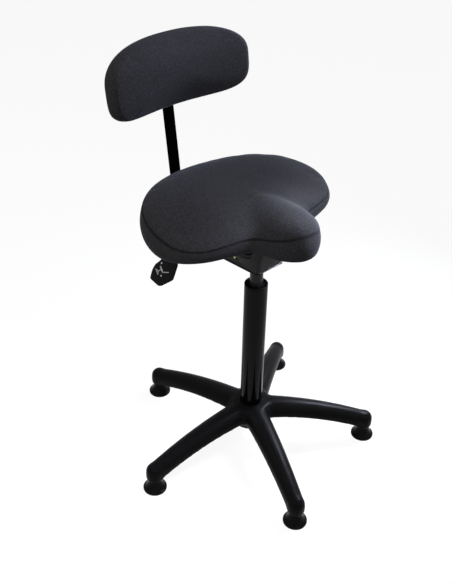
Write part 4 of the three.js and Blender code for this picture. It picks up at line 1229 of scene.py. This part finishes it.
# %% [markdown]
# ## Camera
#
# The camera looks at the sitter's right front corner from above. Its place was solved from the circle of the
# five feet and the upright column, and is kept as real measures: how far from the column, how high, and how
# it is turned. Angles are in degrees, and an azimuth counts from straight in front of the stool.

# %% Camera
CAMERA_AZIMUTH, CAMERA_PAN, CAMERA_TILT, CAMERA_ROLL = -45.0, 2.52, 35.49, 1.146
CAMERA_REACH, CAMERA_HEIGHT, CAMERA_LENS, CAMERA_SENSOR = 1.42605, 1.434, 51.25, 36


def bearing(azimuth, elevation=0):
    """The direction in which a place at an azimuth and an elevation is seen from the column."""
    a, e = math.radians(azimuth), math.radians(elevation)
    return Vector((math.sin(a) * math.cos(e), -math.cos(a) * math.cos(e), math.sin(e)))


camera = shown("camera", bpy.data.cameras.new("camera"))
camera.location = AXIS + bearing(CAMERA_AZIMUTH) * CAMERA_REACH + Vector((0, 0, CAMERA_HEIGHT))
camera.rotation_euler = (
    Matrix.Rotation(math.radians(CAMERA_AZIMUTH + CAMERA_PAN), 3, "Z")
    @ Matrix.Rotation(math.radians(90 - CAMERA_TILT), 3, "X")
    @ Matrix.Rotation(math.radians(CAMERA_ROLL), 3, "Z")
).to_euler()
camera.data.lens = CAMERA_LENS
camera.data.sensor_width = CAMERA_SENSOR
bpy.context.scene.camera = camera
print("camera at", tuple(round(x, 3) for x in camera.location), "m")

# %% [markdown]
# ## Floor, backdrop and light
#
# The stool stands on a plain pale floor in soft studio light. A pale floor should not need floodlights: what
# the camera and mirrors see of it is lifted to white by a little glow of its own, which lights nothing else,
# and the stool's shadow still shows on it. The sky over it does the same, and gives a weak even light.
#
# A broad warm lamp fills from the sitter's right. The others are bluer and stand on the left: a low one for
# the far side of the seat, a soft one from high up, and three small ones with narrow beams for the nose, the
# pad and the legs.

# %% Floor and world
FLOOR_SIZE, FLOOR_TONE, FLOOR_GLOW = 12.0, 0.16, 0.9
SKY_LIGHT, SKY_TINT, WHITE = 0.2, colour(1.0, 0.99, 0.95), colour(1, 1, 1)


def seen_directly(place):
    """One for rays from the camera, and for those that come by a mirror or through glass."""
    path = place.node("LightPath", {}, {}, 0)
    seen = path
    for ray in ("Is Glossy Ray", "Is Transmission Ray"):
        seen = path.sum("MAXIMUM", seen, Wire(place.tree, path.socket.node.outputs[ray]))
    return seen


floor_bm = bmesh.new()
bmesh.ops.create_grid(floor_bm, x_segments=1, y_segments=1, size=FLOOR_SIZE)
floor = shown("floor", mesh_from("floor", floor_bm))
floor_paint = bpy.data.materials.new("floor")
floor_paint.use_nodes = True
floor_tree = floor_paint.node_tree
floor_shader = floor_tree.nodes["Principled BSDF"]
floor_looks = {
    "Base Color": toned(WHITE[:3], FLOOR_TONE),
    "Roughness": 1.0,
    "Specular IOR Level": 0.0,
    "Emission Strength": FLOOR_GLOW,
}
for key, value in floor_looks.items():
    floor_shader.inputs[key].default_value = value
glow = seen_directly(Wire(floor_tree)).blend(colour(0, 0, 0), WHITE)
floor_tree.links.new(glow.socket, floor_shader.inputs["Emission Color"])
floor.data.materials.append(floor_paint)

world = bpy.data.worlds.new("studio")
bpy.context.scene.world = world
world.use_nodes = True
seen = seen_directly(Wire(world.node_tree))
room = seen.node("Background", {}, {"Color": SKY_TINT, "Strength": SKY_LIGHT})
white = seen.node("Background", {}, {"Color": WHITE, "Strength": 1.0})
both = seen.node("MixShader", {}, {0: seen, 1: room, 2: white})
world.node_tree.links.new(both.socket, world.node_tree.nodes["World Output"].inputs["Surface"])
print("floor tone", FLOOR_TONE, "sky light", SKY_LIGHT)


# %% Lamps
LAMP_AIM, OPEN_BEAM = (0, 0, 0.5), 180
COOL, PALE, WARM = (0.76, 0.8, 1.0), (0.82, 0.85, 1.0), (1.0, 0.99, 0.95)


def softbox(name, azimuth, elevation, distance, sides, power, tint, aim=LAMP_AIM, beam=OPEN_BEAM):
    """A rectangular lamp that looks at a point from a bearing, its sides in metres and its power in watts."""
    lamp = bpy.data.lights.new(name, "AREA")
    lamp.shape = "RECTANGLE"
    lamp.size, lamp.size_y = sides
    lamp.energy, lamp.color = power, tint
    lamp.spread = math.radians(beam)
    holder = shown(name, lamp)
    back = bearing(azimuth, elevation)
    holder.location = AXIS + Vector(aim) + back * distance
    holder.rotation_euler = back.to_track_quat("Z", "Y").to_euler()
    holder.visible_camera = False
    print("lamp", name, "of", power, "W")
    return holder


softbox("key", 93, 17, 0.9, (0.4, 0.5), 9, (0.76, 0.81, 1.0))
softbox("nose", 66, 46, 0.5, (0.2, 0.2), 0.95, PALE, aim=(0, -0.14, 0.56), beam=42)
softbox("pad", 74, 32, 0.7, (0.2, 0.2), 0.46, COOL, aim=(0, 0.22, 0.88), beam=42)
softbox("window", 75, 62, 2.4, (0.8, 0.8), 3, COOL)
softbox("legs", 94, 52, 1.5, (0.4, 0.4), 1.3, PALE, aim=(0.16, -0.14, 0.03), beam=22)
fill = softbox("fill", -78, 34, 2.4, (1.6, 1.2), 33, WARM)
fill.visible_glossy = False

bpy.context.scene.view_settings.view_transform = "Standard"
